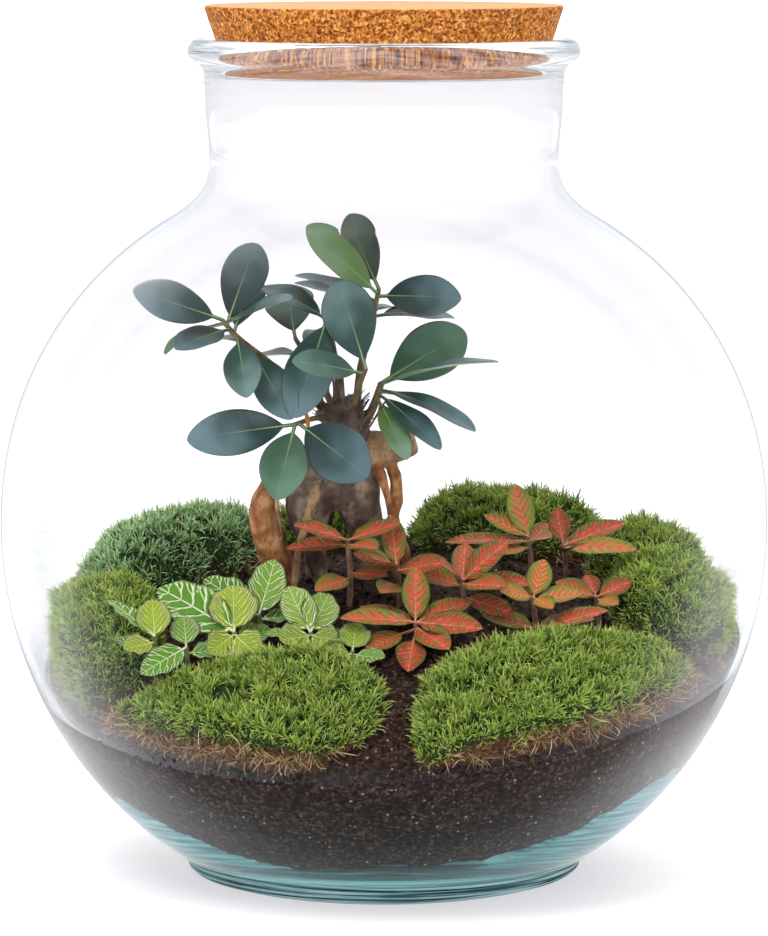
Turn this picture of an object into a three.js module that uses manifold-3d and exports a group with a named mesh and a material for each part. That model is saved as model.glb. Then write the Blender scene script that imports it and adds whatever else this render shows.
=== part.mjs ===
// A planted glass globe with a cork: a small grafted fig tree on swollen roots, white-veined and
// red-veined nerve plants, cushions of moss and a bed of soil that slopes up to the back.
// Millimetres, +Z up, front is -Y. The origin is the middle of the ring that the jar stands on.
import * as THREE from 'three';
import { mergeVertices } from 'three/addons/utils/BufferGeometryUtils.js';
import Module from 'manifold-3d';

const wasm = await Module();
wasm.setup();

// Driving dimensions of the jar. The fillet and the undersides are outlines by radius and height.
const turns = 36;
const globe = { radius: 150, middle: 138.5, lowerHeight: 154, upperHeight: 141.5, upperPower: 2.08 };
const cavity = { radius: 146.8, floor: 12, floorRadius: 58, lowerHeight: 148, upperHeight: 138.7 };
const thickBase = { extra: 9, full: 10, gone: 70 };
const foot = { punt: 4, inner: 61, outer: 69, bevel: 3, bevelHeight: 1.2, heel: 7, step: 5, stepHeight: 2.2 };
const shoulder = { height: 258, fillet: [[75.5, 264], [70, 269]] };
const neck = { outer: 67.9, inner: 65.6, bottom: 270, waist: 281, top: 305, flare: 1.6, innerFlare: 0.7 };
const lip = { middle: 71.3, height: 322.8, radius: 4.9, arc: [-45, 30, 105], crest: 2, throat: 7 };
const mouth = { radius: 70, below: 8.5 };
const cork = { bottom: 316, top: 340.5, bottomRadius: 63.5, topRadius: 69.5, edge: 1.2 };

// Driving dimensions of the planting
const soilClear = 0.4;
const seatClear = 0.35;
const crown = 118;
const bank = { front: 58, rise: 54, side: 8, power: 1.4, lump: 1.2 };
const rootDepth = 7;
const moss = { around: 20, rows: 5, tuft: 2.6, skirt: 5, brim: 1.5, clear: 0.9 };

// Colours and finishes
const finishes = {
  glass: { color: '#cfe6e4', roughness: 0.05, metalness: 0, transparent: true, opacity: 0.3 },
  cork: { color: '#b9824f', roughness: 0.85, metalness: 0 },
  soil: { color: '#3a2c25', roughness: 0.95, metalness: 0 },
  moss: { color: '#5b8428', roughness: 0.9, metalness: 0 },
  bark: { color: '#7c5a44', roughness: 0.8, metalness: 0 },
  figLeaf: { color: '#2f4f46', roughness: 0.4, metalness: 0 },
  whiteVein: { color: '#6d9a3c', roughness: 0.5, metalness: 0 },
  redVein: { color: '#b0583f', roughness: 0.5, metalness: 0 },
};

const group = new THREE.Group();

// Solids and meshes

function toSolid(geometry) {
  const bare = new THREE.BufferGeometry();
  bare.setAttribute('position', geometry.getAttribute('position'));
  bare.setIndex(geometry.getIndex());
  const merged = mergeVertices(bare, 1e-4);
  const kept = [];
  const index = merged.getIndex().array;
  for (let i = 0; i < index.length; i += 3) {
    const [a, b, c] = [index[i], index[i + 1], index[i + 2]];
    if (a !== b && b !== c && c !== a) kept.push(a, b, c);
  }
  return new wasm.Manifold(new wasm.Mesh({
    numProp: 3,
    vertProperties: new Float32Array(merged.getAttribute('position').array),
    triVerts: new Uint32Array(kept),
  }));
}

function join(solids) {
  return solids.reduce((whole, solid) => whole.add(solid));
}

function addPiece(name, solid, finish) {
  const { vertProperties, triVerts } = solid.getMesh();
  const geometry = new THREE.BufferGeometry();
  geometry.setAttribute('position', new THREE.BufferAttribute(vertProperties, 3));
  geometry.setIndex(new THREE.BufferAttribute(triVerts, 1));
  geometry.computeVertexNormals();
  const mesh = new THREE.Mesh(geometry, new THREE.MeshStandardMaterial(finishes[finish]));
  mesh.name = name;
  group.add(mesh);
}

// A turned shape: the outline runs up the outside and back down the inside, round the Z axis.
function turned(outline) {
  const points = outline.map(([r, z]) => new THREE.Vector2(r, z));
  return toSolid(new THREE.LatheGeometry(points, turns).rotateX(Math.PI / 2));
}

// A closed skin over rings of points, shut at both ends by a fan to a point.
function skin(rings, startPoint, endPoint) {
  const sides = rings[0].length;
  const points = [...rings.flat(), startPoint, endPoint];
  const start = points.length - 2;
  const end = points.length - 1;
  const last = (rings.length - 1) * sides;
  const index = [];
  for (let j = 0; j < sides; j += 1) {
    const next = (j + 1) % sides;
    index.push(start, next, j, end, last + j, last + next);
    for (let i = 0; i < rings.length - 1; i += 1) {
      const low = i * sides;
      const high = low + sides;
      index.push(low + j, low + next, high + j, low + next, high + next, high + j);
    }
  }
  const geometry = new THREE.BufferGeometry().setFromPoints(points);
  geometry.setIndex(index);
  return toSolid(geometry);
}

function routeOf(path) {
  return new THREE.CatmullRomCurve3(path.map((p) => new THREE.Vector3(...p)), false, 'catmullrom', 0.5);
}

// A limb is a round section with a radius of its own at each point of its path. Its section keeps
// its turn along the way, starting from a fixed side that no limb here runs along.
const startSide = new THREE.Vector3(0.31, 0.95, 0.05);

function limb({ path, radii, sides = 6 }, extra = 0) {
  const route = routeOf(path);
  const count = path.length - 1;
  const centres = route.getPoints(count);
  if (extra > 0) {
    centres[0].addScaledVector(route.getTangent(0), -extra);
    centres[count].addScaledVector(route.getTangent(1), extra);
  }
  let side = startSide;
  const rings = centres.map((centre, k) => {
    const along = route.getTangent(k / count);
    side = side.clone().addScaledVector(along, -side.dot(along)).normalize();
    const across = new THREE.Vector3().crossVectors(along, side);
    const radius = radii[k] + extra;
    return Array.from({ length: sides }, (_, j) => {
      const turn = (2 * Math.PI * j) / sides;
      return centre.clone().addScaledVector(side, radius * Math.cos(turn))
        .addScaledVector(across, radius * Math.sin(turn));
    });
  });
  return skin(rings, centres[0], centres[count]);
}

// A leaf is a stalk and a blade in one skin with a lens-shaped section. The blade follows an arc
// that droops, its edges stand up in a shallow V, and its face turns from up (0) to the front (1).
const leafKinds = {
  fig: {
    stalk: 4.5,
    stalkRadius: 0.8,
    thick: 0.7,
    fold: 0.12,
    peak: 1.08,
    fullness: 0.65,
    stations: [0.06, 0.26, 0.52, 0.78, 0.94],
  },
  nerve: {
    stalk: 2,
    stalkRadius: 0.7,
    thick: 0.65,
    fold: 0.1,
    peak: 0.86,
    fullness: 0.62,
    stations: [0.08, 0.33, 0.62, 0.88],
  },
};
const stalkSunk = 0.3;
const tipThinning = 0.5;

function leaf(kind, base, [, azimuth, elevation, length, width, droop, face, longStalk = 0]) {
  const { stalk, stalkRadius, thick, fold, peak, fullness, stations } = leafKinds[kind];
  const az = THREE.MathUtils.degToRad(azimuth);
  const el = THREE.MathUtils.degToRad(elevation);
  const bend = THREE.MathUtils.degToRad(droop);
  const stem = stalk + longStalk;
  const blade = length - stem;
  const along = new THREE.Vector3(Math.cos(el) * Math.cos(az), Math.cos(el) * Math.sin(az), Math.sin(el));
  const looks = new THREE.Vector3(0, -face, 1 - face);
  const across = new THREE.Vector3().crossVectors(looks, along).normalize();
  const up = new THREE.Vector3().crossVectors(along, across);
  const blank = base.clone().addScaledVector(along, stem);
  const bladePoint = (s) => blank.clone()
    .addScaledVector(along, (blade * Math.sin(bend * s)) / bend)
    .addScaledVector(up, (-blade * (1 - Math.cos(bend * s))) / bend);
  const ring = (centre, normal, half, deep, lift) => [
    centre.clone().addScaledVector(across, half).addScaledVector(normal, lift),
    centre.clone().addScaledVector(normal, deep),
    centre.clone().addScaledVector(across, -half).addScaledVector(normal, lift),
    centre.clone().addScaledVector(normal, -deep),
  ];
  const rings = [base, blank].map((centre) => ring(centre, up, stalkRadius, stalkRadius, 0));
  for (const s of stations) {
    const normal = up.clone().multiplyScalar(Math.cos(bend * s)).addScaledVector(along, Math.sin(bend * s));
    const half = (width / 2) * Math.sin(Math.PI * s ** peak) ** fullness;
    rings.push(ring(bladePoint(s), normal, half, thick * (1 - tipThinning * s), fold * half));
  }
  return skin(rings, base.clone().addScaledVector(along, -stalkSunk), bladePoint(1));
}

// The glass jar. The lower half of the globe is an ellipse, the upper half a fuller curve.

function globeRadius(z, { radius, lowerHeight, upperHeight }) {
  const { middle, upperPower } = globe;
  if (z < middle) return radius * Math.sqrt(1 - ((middle - z) / lowerHeight) ** 2);
  return radius * (1 - ((z - middle) / upperHeight) ** upperPower) ** (1 / upperPower);
}

// The wall gains up to thickBase.extra towards the base, where the glass gathered
function cavityRadius(z) {
  const thin = THREE.MathUtils.smoothstep(z, thickBase.full, thickBase.gone);
  return globeRadius(z, cavity) - thickBase.extra * (1 - thin);
}

// Heights up the globe, closer together where it turns in
const outerHeights = [foot.heel, 22, 44, 72, 104, globe.middle, 175, 207, 235, shoulder.height];
const cavityHeights = [16, 26, 34, 44, 72, 104, globe.middle, 175, 207, 235, shoulder.height];

const cavityOutline = [
  [0, cavity.floor],
  [cavity.floorRadius, cavity.floor],
  ...cavityHeights.map((z) => [cavityRadius(z), z]),
];

function lipPoint(degrees) {
  const turn = THREE.MathUtils.degToRad(degrees);
  return [lip.middle + lip.radius * Math.cos(turn), lip.height + lip.radius * Math.sin(turn)];
}

const jarOutline = [
  [0, foot.punt],
  [foot.inner - foot.bevel, foot.bevelHeight],
  [foot.inner, 0],
  [foot.outer, 0],
  [foot.outer + foot.step, foot.stepHeight],
  ...outerHeights.map((z) => [globeRadius(z, globe), z]),
  ...shoulder.fillet,
  [neck.outer, neck.waist],
  [neck.outer + neck.flare, neck.top],
  [mouth.radius, lip.height - mouth.below],
  ...lip.arc.map(lipPoint),
  [lip.middle - lip.radius, lip.height + lip.crest],
  [neck.inner + neck.innerFlare, lip.height - lip.throat],
  [neck.inner, neck.waist],
  [neck.inner + neck.innerFlare, neck.bottom],
  ...cavityOutline.toReversed(),
];
addPiece('glass_jar', turned(jarOutline), 'glass');

// Radius of the faceted cavity at a height, straight between the outline's points
function wallRadius(z) {
  const high = Math.max(2, cavityOutline.findIndex((point) => point[1] > z));
  const [[lowRadius, low], [highRadius, top]] = cavityOutline.slice(high - 1, high + 1);
  return THREE.MathUtils.mapLinear(z, low, top, lowRadius, highRadius);
}

// The cork, a tapered disc with a slightly broken edge
addPiece('cork_stopper', turned([
  [0, cork.bottom],
  [cork.bottomRadius - cork.edge, cork.bottom],
  [cork.bottomRadius, cork.bottom + cork.edge],
  [cork.topRadius, cork.top - cork.edge],
  [cork.topRadius - cork.edge, cork.top],
  [0, cork.top],
]), 'cork');

// The soil: a bank that meets the glass low in front and high behind, and rises to a crown.

function bankHeight(x, y) {
  const r = Math.hypot(x, y) || 1;
  return bank.front + (bank.rise * (1 + y / r)) / 2 + (bank.side * x) / r;
}

function soilHeight(x, y) {
  const edgeHeight = bankHeight(x, y);
  const out = Math.min(1, Math.hypot(x, y) / wallRadius(edgeHeight));
  const lumps = bank.lump * Math.sin(x / 13 + 1) * Math.sin(y / 15) * (1 - out);
  return crown + (edgeHeight - crown) * out ** bank.power + lumps;
}

function soilBed() {
  const topRings = 6;
  const wallRings = 5;
  const floor = cavity.floor + soilClear;
  const onRing = (level) => Array.from({ length: turns }, (_, j) => {
    const turn = (2 * Math.PI * j) / turns;
    const [sx, sy] = [Math.sin(turn), -Math.cos(turn)];
    const edgeHeight = bankHeight(sx, sy);
    if (level <= wallRings) {
      const z = THREE.MathUtils.lerp(floor, edgeHeight, level / wallRings);
      const r = (level === 0 ? cavity.floorRadius : wallRadius(z)) - soilClear;
      return new THREE.Vector3(r * sx, r * sy, z);
    }
    const r = (wallRadius(edgeHeight) - soilClear) * (1 - (level - wallRings) / topRings);
    return new THREE.Vector3(r * sx, r * sy, soilHeight(r * sx, r * sy));
  });
  const rings = Array.from({ length: wallRings + topRings }, (_, level) => onRing(level));
  return skin(rings, new THREE.Vector3(0, 0, floor), new THREE.Vector3(0, 0, crown));
}

// The fig tree: fat pale roots that stand on the soil, a cut stump and a rough graft crown
const figTrunk = [
  {
    path: [[-13, 1, 174], [-19, -2, 164], [-28, -5, 151], [-30, -5, 139], [-27, -3, 127], [-24, -2, 111]],
    radii: [7, 9.5, 9.5, 8, 4.5, 3],
    sides: 8,
  },
  {
    path: [[-13, 1, 174], [-13, 1, 163], [-11, 1, 150], [-9, 2, 139], [-8, 3, 127], [-7, 3, 111]],
    radii: [7, 9.5, 9, 7.5, 4.5, 3],
    sides: 8,
  },
  { path: [[-14, 1, 172], [-19, 0, 160], [-20, 0, 150], [-20, 1, 144]], radii: [7, 12, 11.5, 6], sides: 8 },
  {
    path: [[-24, -2, 166], [-37, -5, 161], [-45, -5, 151], [-47, -5, 140], [-44, -4, 129], [-40, -3, 119],
      [-39, -2, 110]],
    radii: [4, 4.5, 5, 6.2, 6.4, 5.2, 4],
    sides: 8,
  },
  {
    path: [[-19, 3, 166], [-23, 10, 152], [-26, 13, 137], [-27, 14, 124], [-28, 15, 111]],
    radii: [6, 6.5, 6, 4.5, 3.5],
    sides: 7,
  },
  { path: [[-10, 5, 164], [-6, 11, 150], [-4, 14, 135], [-3, 15, 111]], radii: [4, 4, 3.4, 2.6] },
  {
    path: [[-4, -2, 166], [0, -5, 153], [2.5, -5.5, 141], [4, -5, 128], [5, -4, 110]],
    radii: [2.4, 1.9, 1.8, 1.6, 1.6],
  },
  {
    path: [[0, 0, 165], [4.5, -0.5, 156], [5, -0.5, 147], [4, 0.5, 139], [8, 2, 127], [9, 3, 110]],
    radii: [2, 2.3, 2.5, 2, 1.7, 1.7],
  },
  {
    path: [[-24, -11, 160], [-28, -14.5, 147], [-31, -14.5, 136], [-34, -13.5, 125], [-35, -13, 109]],
    radii: [1.8, 1.7, 1.6, 1.5, 1.4],
    sides: 5,
  },
  {
    path: [[-42, -8.5, 157], [-41.5, -12, 145], [-40, -11.5, 135], [-41, -8, 127]],
    radii: [1.1, 1.1, 1.1, 1.1],
    sides: 5,
  },
];
const stump = { path: [[-13, 2, 161], [-3, 1, 166], [12, -1, 170]], radii: [8, 7.5, 6], sides: 8 };
const graft = { path: [[-12, 0, 168], [-14, 0, 176], [-18, -0.5, 185]], radii: [7, 7.5, 10], sides: 10 };

// The cut on the stump is flat and slants to the front and the right.
const cut = { size: [60, 30, 40], tilt: 12, turn: 28, middle: [11, -17, 172] };

function stumpCut() {
  const block = new THREE.BoxGeometry(...cut.size);
  block.rotateY(THREE.MathUtils.degToRad(cut.tilt));
  block.rotateZ(THREE.MathUtils.degToRad(cut.turn));
  block.translate(...cut.middle);
  return toSolid(block);
}

// Each spray is a stem from the graft with its leaves. A leaf's row: place along the stem from
// 0 to 1, azimuth, elevation, length with stalk, width, droop, and how far its face turns forward.
const figSprays = {
  left: {
    path: [[-20, -1, 181], [-33, -2, 191], [-46, -4, 202], [-57, -5, 211], [-63, -5, 218]],
    radii: [1.7, 1.6, 1.4, 1.2, 0.9],
    leaves: [
      [1, -150, 20, 39, 16, 16, 0.75],
      [0.92, 54, 60, 39, 18, 20, 0.8],
      [0.8, 75, 42, 36, 15, 20, 0.6],
      [0.95, -43, 23, 37, 14, 12, 0.35],
      [0.95, 146, -12, 33, 13, 30, 0.05],
      [0.86, -125, -3, 32, 14, 20, 0.45],
      [0.76, -80, -32, 33, 15, 20, 0.65],
      [0.62, -50, -46, 34, 16, 18, 0.7],
      [0.7, 125, 5, 34, 15, 25, 0.1],
    ],
  },
  low_left: {
    path: [[-17, -3, 179], [-26, -10, 180], [-35, -16, 178]],
    radii: [1.3, 1.1, 0.9],
    leaves: [
      [1, -158, -4, 43, 18, 14, 0.85],
      [0.9, -38, -28, 37, 23, 16, 0.85],
      [0.97, -105, -42, 36, 19, 14, 0.8],
    ],
  },
  back_left: {
    path: [[-19, 4, 181], [-27, 10, 196], [-35, 15, 209]],
    radii: [1.5, 1.2, 0.9],
    leaves: [
      [1, 100, 40, 33, 20, 14, 0.9],
      [0.85, 62, 16, 35, 16, 26, 0.15],
      [0.75, 150, 2, 35, 16, 26, 0.1],
    ],
  },
  middle: {
    path: [[-13, -4, 180], [-10, -11, 192], [-7, -18, 200]],
    radii: [1.4, 1.2, 0.9],
    leaves: [
      [1, 128, 63, 39, 21, 12, 0.9],
      [0.85, -145, 16, 32, 13, 18, 0.6],
    ],
  },
  hanging: {
    path: [[-17, 0, 182], [-19, -2, 202], [-22, -4, 219]],
    radii: [1.4, 1.2, 0.9],
    leaves: [
      [1, -123, -58, 43, 19, 14, 0.75],
      [0.95, 150, 30, 34, 14, 22, 0.3],
    ],
  },
  top: {
    path: [[-11, 3, 181], [-9, 4, 199], [-5, 7, 215], [-2, 9, 229]],
    radii: [1.7, 1.5, 1.2, 0.9],
    leaves: [
      [0.95, -148, 42, 40, 16, 16, 0.55],
      [1, 125, 50, 36, 15, 16, 0.8],
      [0.93, -32, 4, 36, 17, 20, 0.75],
      [0.88, 160, 22, 36, 13, 16, 0.15],
      [0.82, -163, 24, 34, 12, 16, 0.2],
      [0.8, 66, 4, 33, 14, 24, 0.1],
      [0.74, 26, 6, 38, 15, 24, 0.3],
      [0.72, 112, 2, 36, 16, 28, 0.1],
    ],
  },
  right: {
    path: [[-9, 0, 174], [-4, -2, 184], [-1, -2, 193]],
    radii: [1.9, 1.7, 1.3],
    leaves: [
      [1, 22, 29, 42, 22, 14, 0.8],
      [0.97, -20, 22, 50, 15, 22, 0.05],
      [0.85, -32, -8, 46, 13, 22, 0.2],
      [0.76, -45, -24, 38, 12, 18, 0.3],
      [0.68, -66, -34, 34, 11, 16, 0.35],
      [0.8, 52, -6, 34, 13, 24, 0.1],
    ],
  },
};
const stemSides = 5;

// The nerve plants: each shoot is a short stem in the soil with its leaves in pairs. A shoot gives
// where it stands, how high its tip is, and its leaves in the same rows as above. An eighth number
// is the extra length of a stalk.
const whiteShoots = {
  a: { at: [-87, -60], tip: 102, leaves: [
    [1, 141, 34, 27, 9, 16, 0.1],
    [0.97, 100, 62, 17, 14, 12, 0.9],
    [0.93, -135, 4, 15, 11, 16, 0.5],
    [0.85, 170, 18, 17, 9, 16, 0.3],
  ] },
  b: { at: [-75, -61], tip: 98, leaves: [
    [1, -140, -16, 22, 12, 14, 0.6],
    [1, 98, 50, 15, 12, 14, 0.75],
    [0.9, 0, 14, 15, 10, 16, 0.4],
  ] },
  c: { at: [-57, -55], tip: 103, leaves: [
    [1, 146, 26, 42, 19, 20, 0.65],
    [1, 95, 52, 22, 20, 12, 0.9],
    [0.96, -62, -14, 18, 14, 18, 0.75],
    [0.96, -122, -14, 16, 13, 18, 0.75],
    [0.9, 30, 12, 17, 12, 16, 0.4],
  ] },
  d: { at: [-48, -44], tip: 108, leaves: [
    [1, 62, 58, 25, 15, 20, 0.65],
    [0.97, 155, 34, 29, 15, 24, 0.5],
    [0.9, 15, 10, 20, 11, 16, 0.3],
  ] },
  e: { at: [-28, -56], tip: 103, leaves: [
    [1, 130, 50, 23, 14, 18, 0.7],
    [1, 62, 44, 21, 15, 14, 0.8],
    [0.92, -128, 6, 17, 13, 16, 0.6],
    [0.92, -58, 8, 15, 12, 16, 0.55],
    [0.88, 175, 10, 18, 9, 16, 0.3],
    [0.8, 8, 6, 18, 10, 16, 0.4],
  ] },
  f: { at: [-12, -66], tip: 97, leaves: [
    [1, 80, 50, 14, 13, 12, 0.85],
    [0.94, -135, 2, 13, 11, 12, 0.7],
    [0.9, -40, 6, 15, 9, 12, 0.45],
    [0.85, 170, 14, 13, 9, 12, 0.4],
  ] },
};

const redShoots = {
  a: { at: [12, -51], tip: 106, leaves: [
    [1, -160, 12, 30, 12, 16, 0.35],
    [0.97, 150, 18, 26, 10, 18, 0.2],
    [0.98, 22, 24, 25, 11, 18, 0.4],
    [1, -30, 4, 28, 13, 16, 0.45],
    [0.82, -64, -6, 25, 12, 14, 0.55],
    [1, 88, 64, 23, 11, 8, 0.9],
    [0.82, -98, -22, 29, 12, 12, 0.7, 8],
    [0.8, -142, -10, 25, 11, 12, 0.4, 6],
  ] },
  b: { at: [5, -30], tip: 124, leaves: [
    [1, -112, 22, 22, 11, 14, 0.45],
    [0.97, -150, 26, 20, 11, 14, 0.45],
    [0.9, 40, 8, 20, 10, 14, 0.3],
    [1, 100, 56, 24, 10, 10, 0.9],
    [0.93, -30, 18, 22, 11, 14, 0.45],
    [0.7, -110, 6, 20, 11, 14, 0.5],
  ] },
  c: { at: [-14, -27], tip: 134, leaves: [
    [1, -150, 24, 24, 10, 16, 0.4],
    [1, 10, 22, 22, 10, 14, 0.35],
    [0.94, -178, 4, 24, 10, 16, 0.35],
    [0.94, -60, 10, 22, 10, 14, 0.4],
    [0.55, -128, -2, 21, 10, 12, 0.45],
    [0.6, -40, 6, 18, 9, 12, 0.4],
  ] },
  d: { at: [57, -47], tip: 115, leaves: [
    [1, 60, 56, 17, 10, 12, 0.8],
    [1, -150, 20, 15, 10, 12, 0.45],
    [1, -60, -4, 14, 8, 12, 0.45],
    [0.97, 2, 12, 19, 10, 14, 0.4],
    [0.95, 128, 20, 18, 9, 14, 0.3],
    [0.5, 28, 10, 27, 10, 14, 0.3],
    [0.45, -20, 24, 30, 11, 14, 0.35],
    [0.5, -104, 14, 18, 9, 12, 0.5],
    [0.5, 165, 16, 22, 10, 12, 0.4],
  ] },
  e: { at: [82, -31], tip: 113, leaves: [
    [1, 25, 22, 17, 9, 12, 0.5],
    [1, 112, 40, 13, 8, 12, 0.6],
    [0.95, -55, 4, 13, 8, 12, 0.5],
    [1, -172, 24, 17, 9, 12, 0.5],
  ] },
  f: { at: [57, 4], tip: 131, leaves: [
    [1, 122, 60, 24, 11, 14, 0.9],
    [1, 170, 30, 20, 9, 14, 0.4],
    [0.93, -166, 8, 34, 10, 16, 0.3],
    [0.84, -144, 4, 28, 10, 14, 0.35],
    [0.95, -70, 16, 20, 9, 14, 0.5],
    [0.9, 60, 24, 20, 9, 14, 0.4],
  ] },
  g: { at: [30, -37], tip: 120, leaves: [
    [1, -8, 44, 24, 11, 16, 0.5],
    [0.94, -50, 10, 24, 11, 14, 0.45],
    [0.9, -4, 10, 28, 11, 16, 0.4],
    [0.98, 84, 40, 22, 10, 14, 0.6],
    [0.9, 165, 20, 20, 10, 14, 0.4],
    [1, -112, 30, 20, 10, 14, 0.5],
    [0.7, -30, -8, 22, 11, 14, 0.45],
  ] },
  h: { at: [71, 9], tip: 127, leaves: [
    [1, 12, 24, 27, 11, 16, 0.4],
    [1, 105, 54, 18, 9, 12, 0.8],
    [0.95, -28, 9, 31, 11, 16, 0.4],
    [0.9, -90, 18, 18, 9, 12, 0.5],
    [0.9, 58, 14, 22, 10, 14, 0.3],
  ] },
};
const shootRadii = [1.1, 1.1, 0.9];
const shootBow = [1, 0.5];

function leaves(kind, spray) {
  const route = routeOf(spray.path);
  return spray.leaves.map((row) => leaf(kind, route.getPoint(row[0]), row));
}

function sprayParts() {
  const parts = [];
  const sockets = [];
  for (const [name, spray] of Object.entries(figSprays)) {
    const stem = { ...spray, sides: stemSides };
    sockets.push(limb(stem, seatClear));
    parts.push([`fig_spray_${name}`, join([limb(stem), ...leaves('fig', spray)])]);
  }
  return { parts, sockets };
}

function shootParts(kind, shoots) {
  const parts = [];
  const sockets = [];
  for (const [name, { at: [x, y], tip, leaves: rows }] of Object.entries(shoots)) {
    const root = soilHeight(x, y) - rootDepth;
    const middle = [x + shootBow[0], y + shootBow[1], (root + tip) / 2];
    const stem = { path: [[x, y, root], middle, [x, y, tip]], radii: shootRadii, sides: stemSides };
    sockets.push(limb(stem, soilClear));
    parts.push([`${kind}_${name}`, join([limb(stem), ...leaves('nerve', { ...stem, leaves: rows })])]);
  }
  return { parts, sockets };
}

const sprays = sprayParts();
const white = shootParts('white_nerve_plant', whiteShoots);
const red = shootParts('red_nerve_plant', redShoots);

const trunk = join([...figTrunk, stump, graft].map((part) => limb(part)));
addPiece('fig_trunk', trunk.subtract(stumpCut()).subtract(join(sprays.sockets)), 'bark');
for (const [name, solid] of sprays.parts) addPiece(name, solid, 'figLeaf');
for (const [name, solid] of white.parts) addPiece(name, solid, 'whiteVein');
for (const [name, solid] of red.parts) addPiece(name, solid, 'redVein');

const bed = soilBed();
const rootHoles = figTrunk.map((part) => limb(part, soilClear));
addPiece('soil_bed', bed.subtract(join([...rootHoles, ...white.sockets, ...red.sockets])), 'soil');

// The moss: low domes with ragged tops that lie on the soil and flatten where they meet the glass.
// A cushion gives its middle, its half axes, how it is turned, its height and its seed.
const mossCushions = {
  front_left: { at: [-55, -93], half: [56, 27], turn: 3, height: 20, seed: 1 },
  front_right: { at: [65, -85], half: [61, 27], turn: 28, height: 20, seed: 2 },
  left: { at: [-117, -18], half: [30, 39], turn: 8, height: 33, seed: 3 },
  back_left: { at: [-91, 62], half: [45, 34], turn: 40, height: 32, seed: 4 },
  back_middle: { at: [-27, 101], half: [25, 22], turn: 10, height: 22, seed: 5 },
  back_right: { at: [50, 85], half: [41, 26], turn: -24, height: 26, seed: 6 },
  right_back: { at: [108, 42], half: [24, 23], turn: -30, height: 25, seed: 7 },
  right: { at: [116, -10], half: [29, 28], turn: 10, height: 27, seed: 8 },
};

// A fixed number between 0 and 1 for three whole numbers
function chance(a, b, c) {
  const value = Math.sin(a * 12.9898 + b * 78.233 + c * 37.719) * 43758.5453;
  return value - Math.floor(value);
}

function cushion({ at: [x, y], half, turn, height, seed }) {
  const { around, rows, tuft, skirt, brim, clear } = moss;
  const middle = new THREE.Vector2();
  const place = (out, angle, lift) => {
    const wave = 1 + 0.05 * Math.sin(3 * angle + seed) + 0.04 * Math.sin(5 * angle + 2 * seed);
    const flat = new THREE.Vector2(half[0] * Math.cos(angle), half[1] * Math.sin(angle));
    flat.multiplyScalar(out * wave).rotateAround(middle, THREE.MathUtils.degToRad(turn));
    const spot = new THREE.Vector3(x + flat.x, y + flat.y, 0);
    spot.z = soilHeight(spot.x, spot.y) + lift;
    const room = wallRadius(spot.z) * Math.cos(Math.PI / turns) - clear + Math.min(0, lift) / 2;
    const reach = Math.hypot(spot.x, spot.y);
    if (reach > room) spot.set((spot.x * room) / reach, (spot.y * room) / reach, spot.z);
    return spot;
  };
  const ringAt = (row) => Array.from({ length: around }, (_, j) => {
    const angle = (2 * Math.PI * j) / around;
    if (row === 0) return place(0.97, angle, -skirt);
    const out = 1 - (row - 1) / rows;
    const ragged = ((row + j) % 2) * tuft * (0.4 + 0.6 * chance(row, j, seed));
    return place(out, angle, brim + (height - brim) * Math.sqrt(1 - out ** 3) + ragged);
  });
  const rings = Array.from({ length: rows + 1 }, (_, row) => ringAt(row));
  return skin(rings, place(0, 0, -skirt), place(0, 0, height));
}

// Each cushion's underside is the bed's own surface, a hair above it.
const raisedBed = bed.translate([0, 0, seatClear]);
for (const [name, shape] of Object.entries(mossCushions)) {
  addPiece(`moss_${name}`, cushion(shape).subtract(raisedBed), 'moss');
}

export default group;
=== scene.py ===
import bpy
import itertools
import math
import numpy as np
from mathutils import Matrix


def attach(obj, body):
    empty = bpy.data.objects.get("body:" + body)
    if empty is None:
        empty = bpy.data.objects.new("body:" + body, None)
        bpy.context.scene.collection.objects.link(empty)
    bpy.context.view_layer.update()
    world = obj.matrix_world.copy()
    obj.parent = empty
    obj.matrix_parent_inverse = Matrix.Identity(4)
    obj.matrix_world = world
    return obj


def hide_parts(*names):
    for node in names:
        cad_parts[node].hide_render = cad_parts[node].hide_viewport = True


# A corked glass globe planted with a small grafted fig, nerve plants and moss. Shapes are worked
# out in millimetres and put into the meshes in metres, +Z up, front -Y.
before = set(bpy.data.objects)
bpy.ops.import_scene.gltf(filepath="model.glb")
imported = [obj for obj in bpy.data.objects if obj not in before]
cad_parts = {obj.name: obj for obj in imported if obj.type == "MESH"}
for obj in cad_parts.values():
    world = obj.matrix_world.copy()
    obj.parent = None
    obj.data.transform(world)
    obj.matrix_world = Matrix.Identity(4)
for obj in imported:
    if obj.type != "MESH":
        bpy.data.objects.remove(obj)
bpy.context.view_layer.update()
millimetre = 0.001
print("frame loaded")


# Meshes

def addMesh(name, points, quads, tris, materials, attributes=None, slots=None):
    # Points in mm, quads and tris as index arrays, attributes as rows of three numbers a point,
    # slots as a material number for each face, quads first
    mesh = bpy.data.meshes.new(name)
    faces = quads.tolist() + tris.tolist()
    mesh.from_pydata((points * millimetre).tolist(), [], faces)
    for label, values in (attributes or {}).items():
        layer = mesh.attributes.new(label, "FLOAT_VECTOR", "POINT")
        layer.data.foreach_set("vector", np.asarray(values, np.float32).ravel())
    for material in materials:
        mesh.materials.append(material)
    if slots is not None:
        mesh.polygons.foreach_set("material_index", np.asarray(slots, np.int32))
    mesh.shade_smooth()
    piece = bpy.data.objects.new(name, mesh)
    bpy.context.collection.objects.link(piece)
    return piece


def standFor(piece, slotName, *nodes):
    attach(piece, "root")
    if nodes:
        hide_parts(*nodes)


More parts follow.
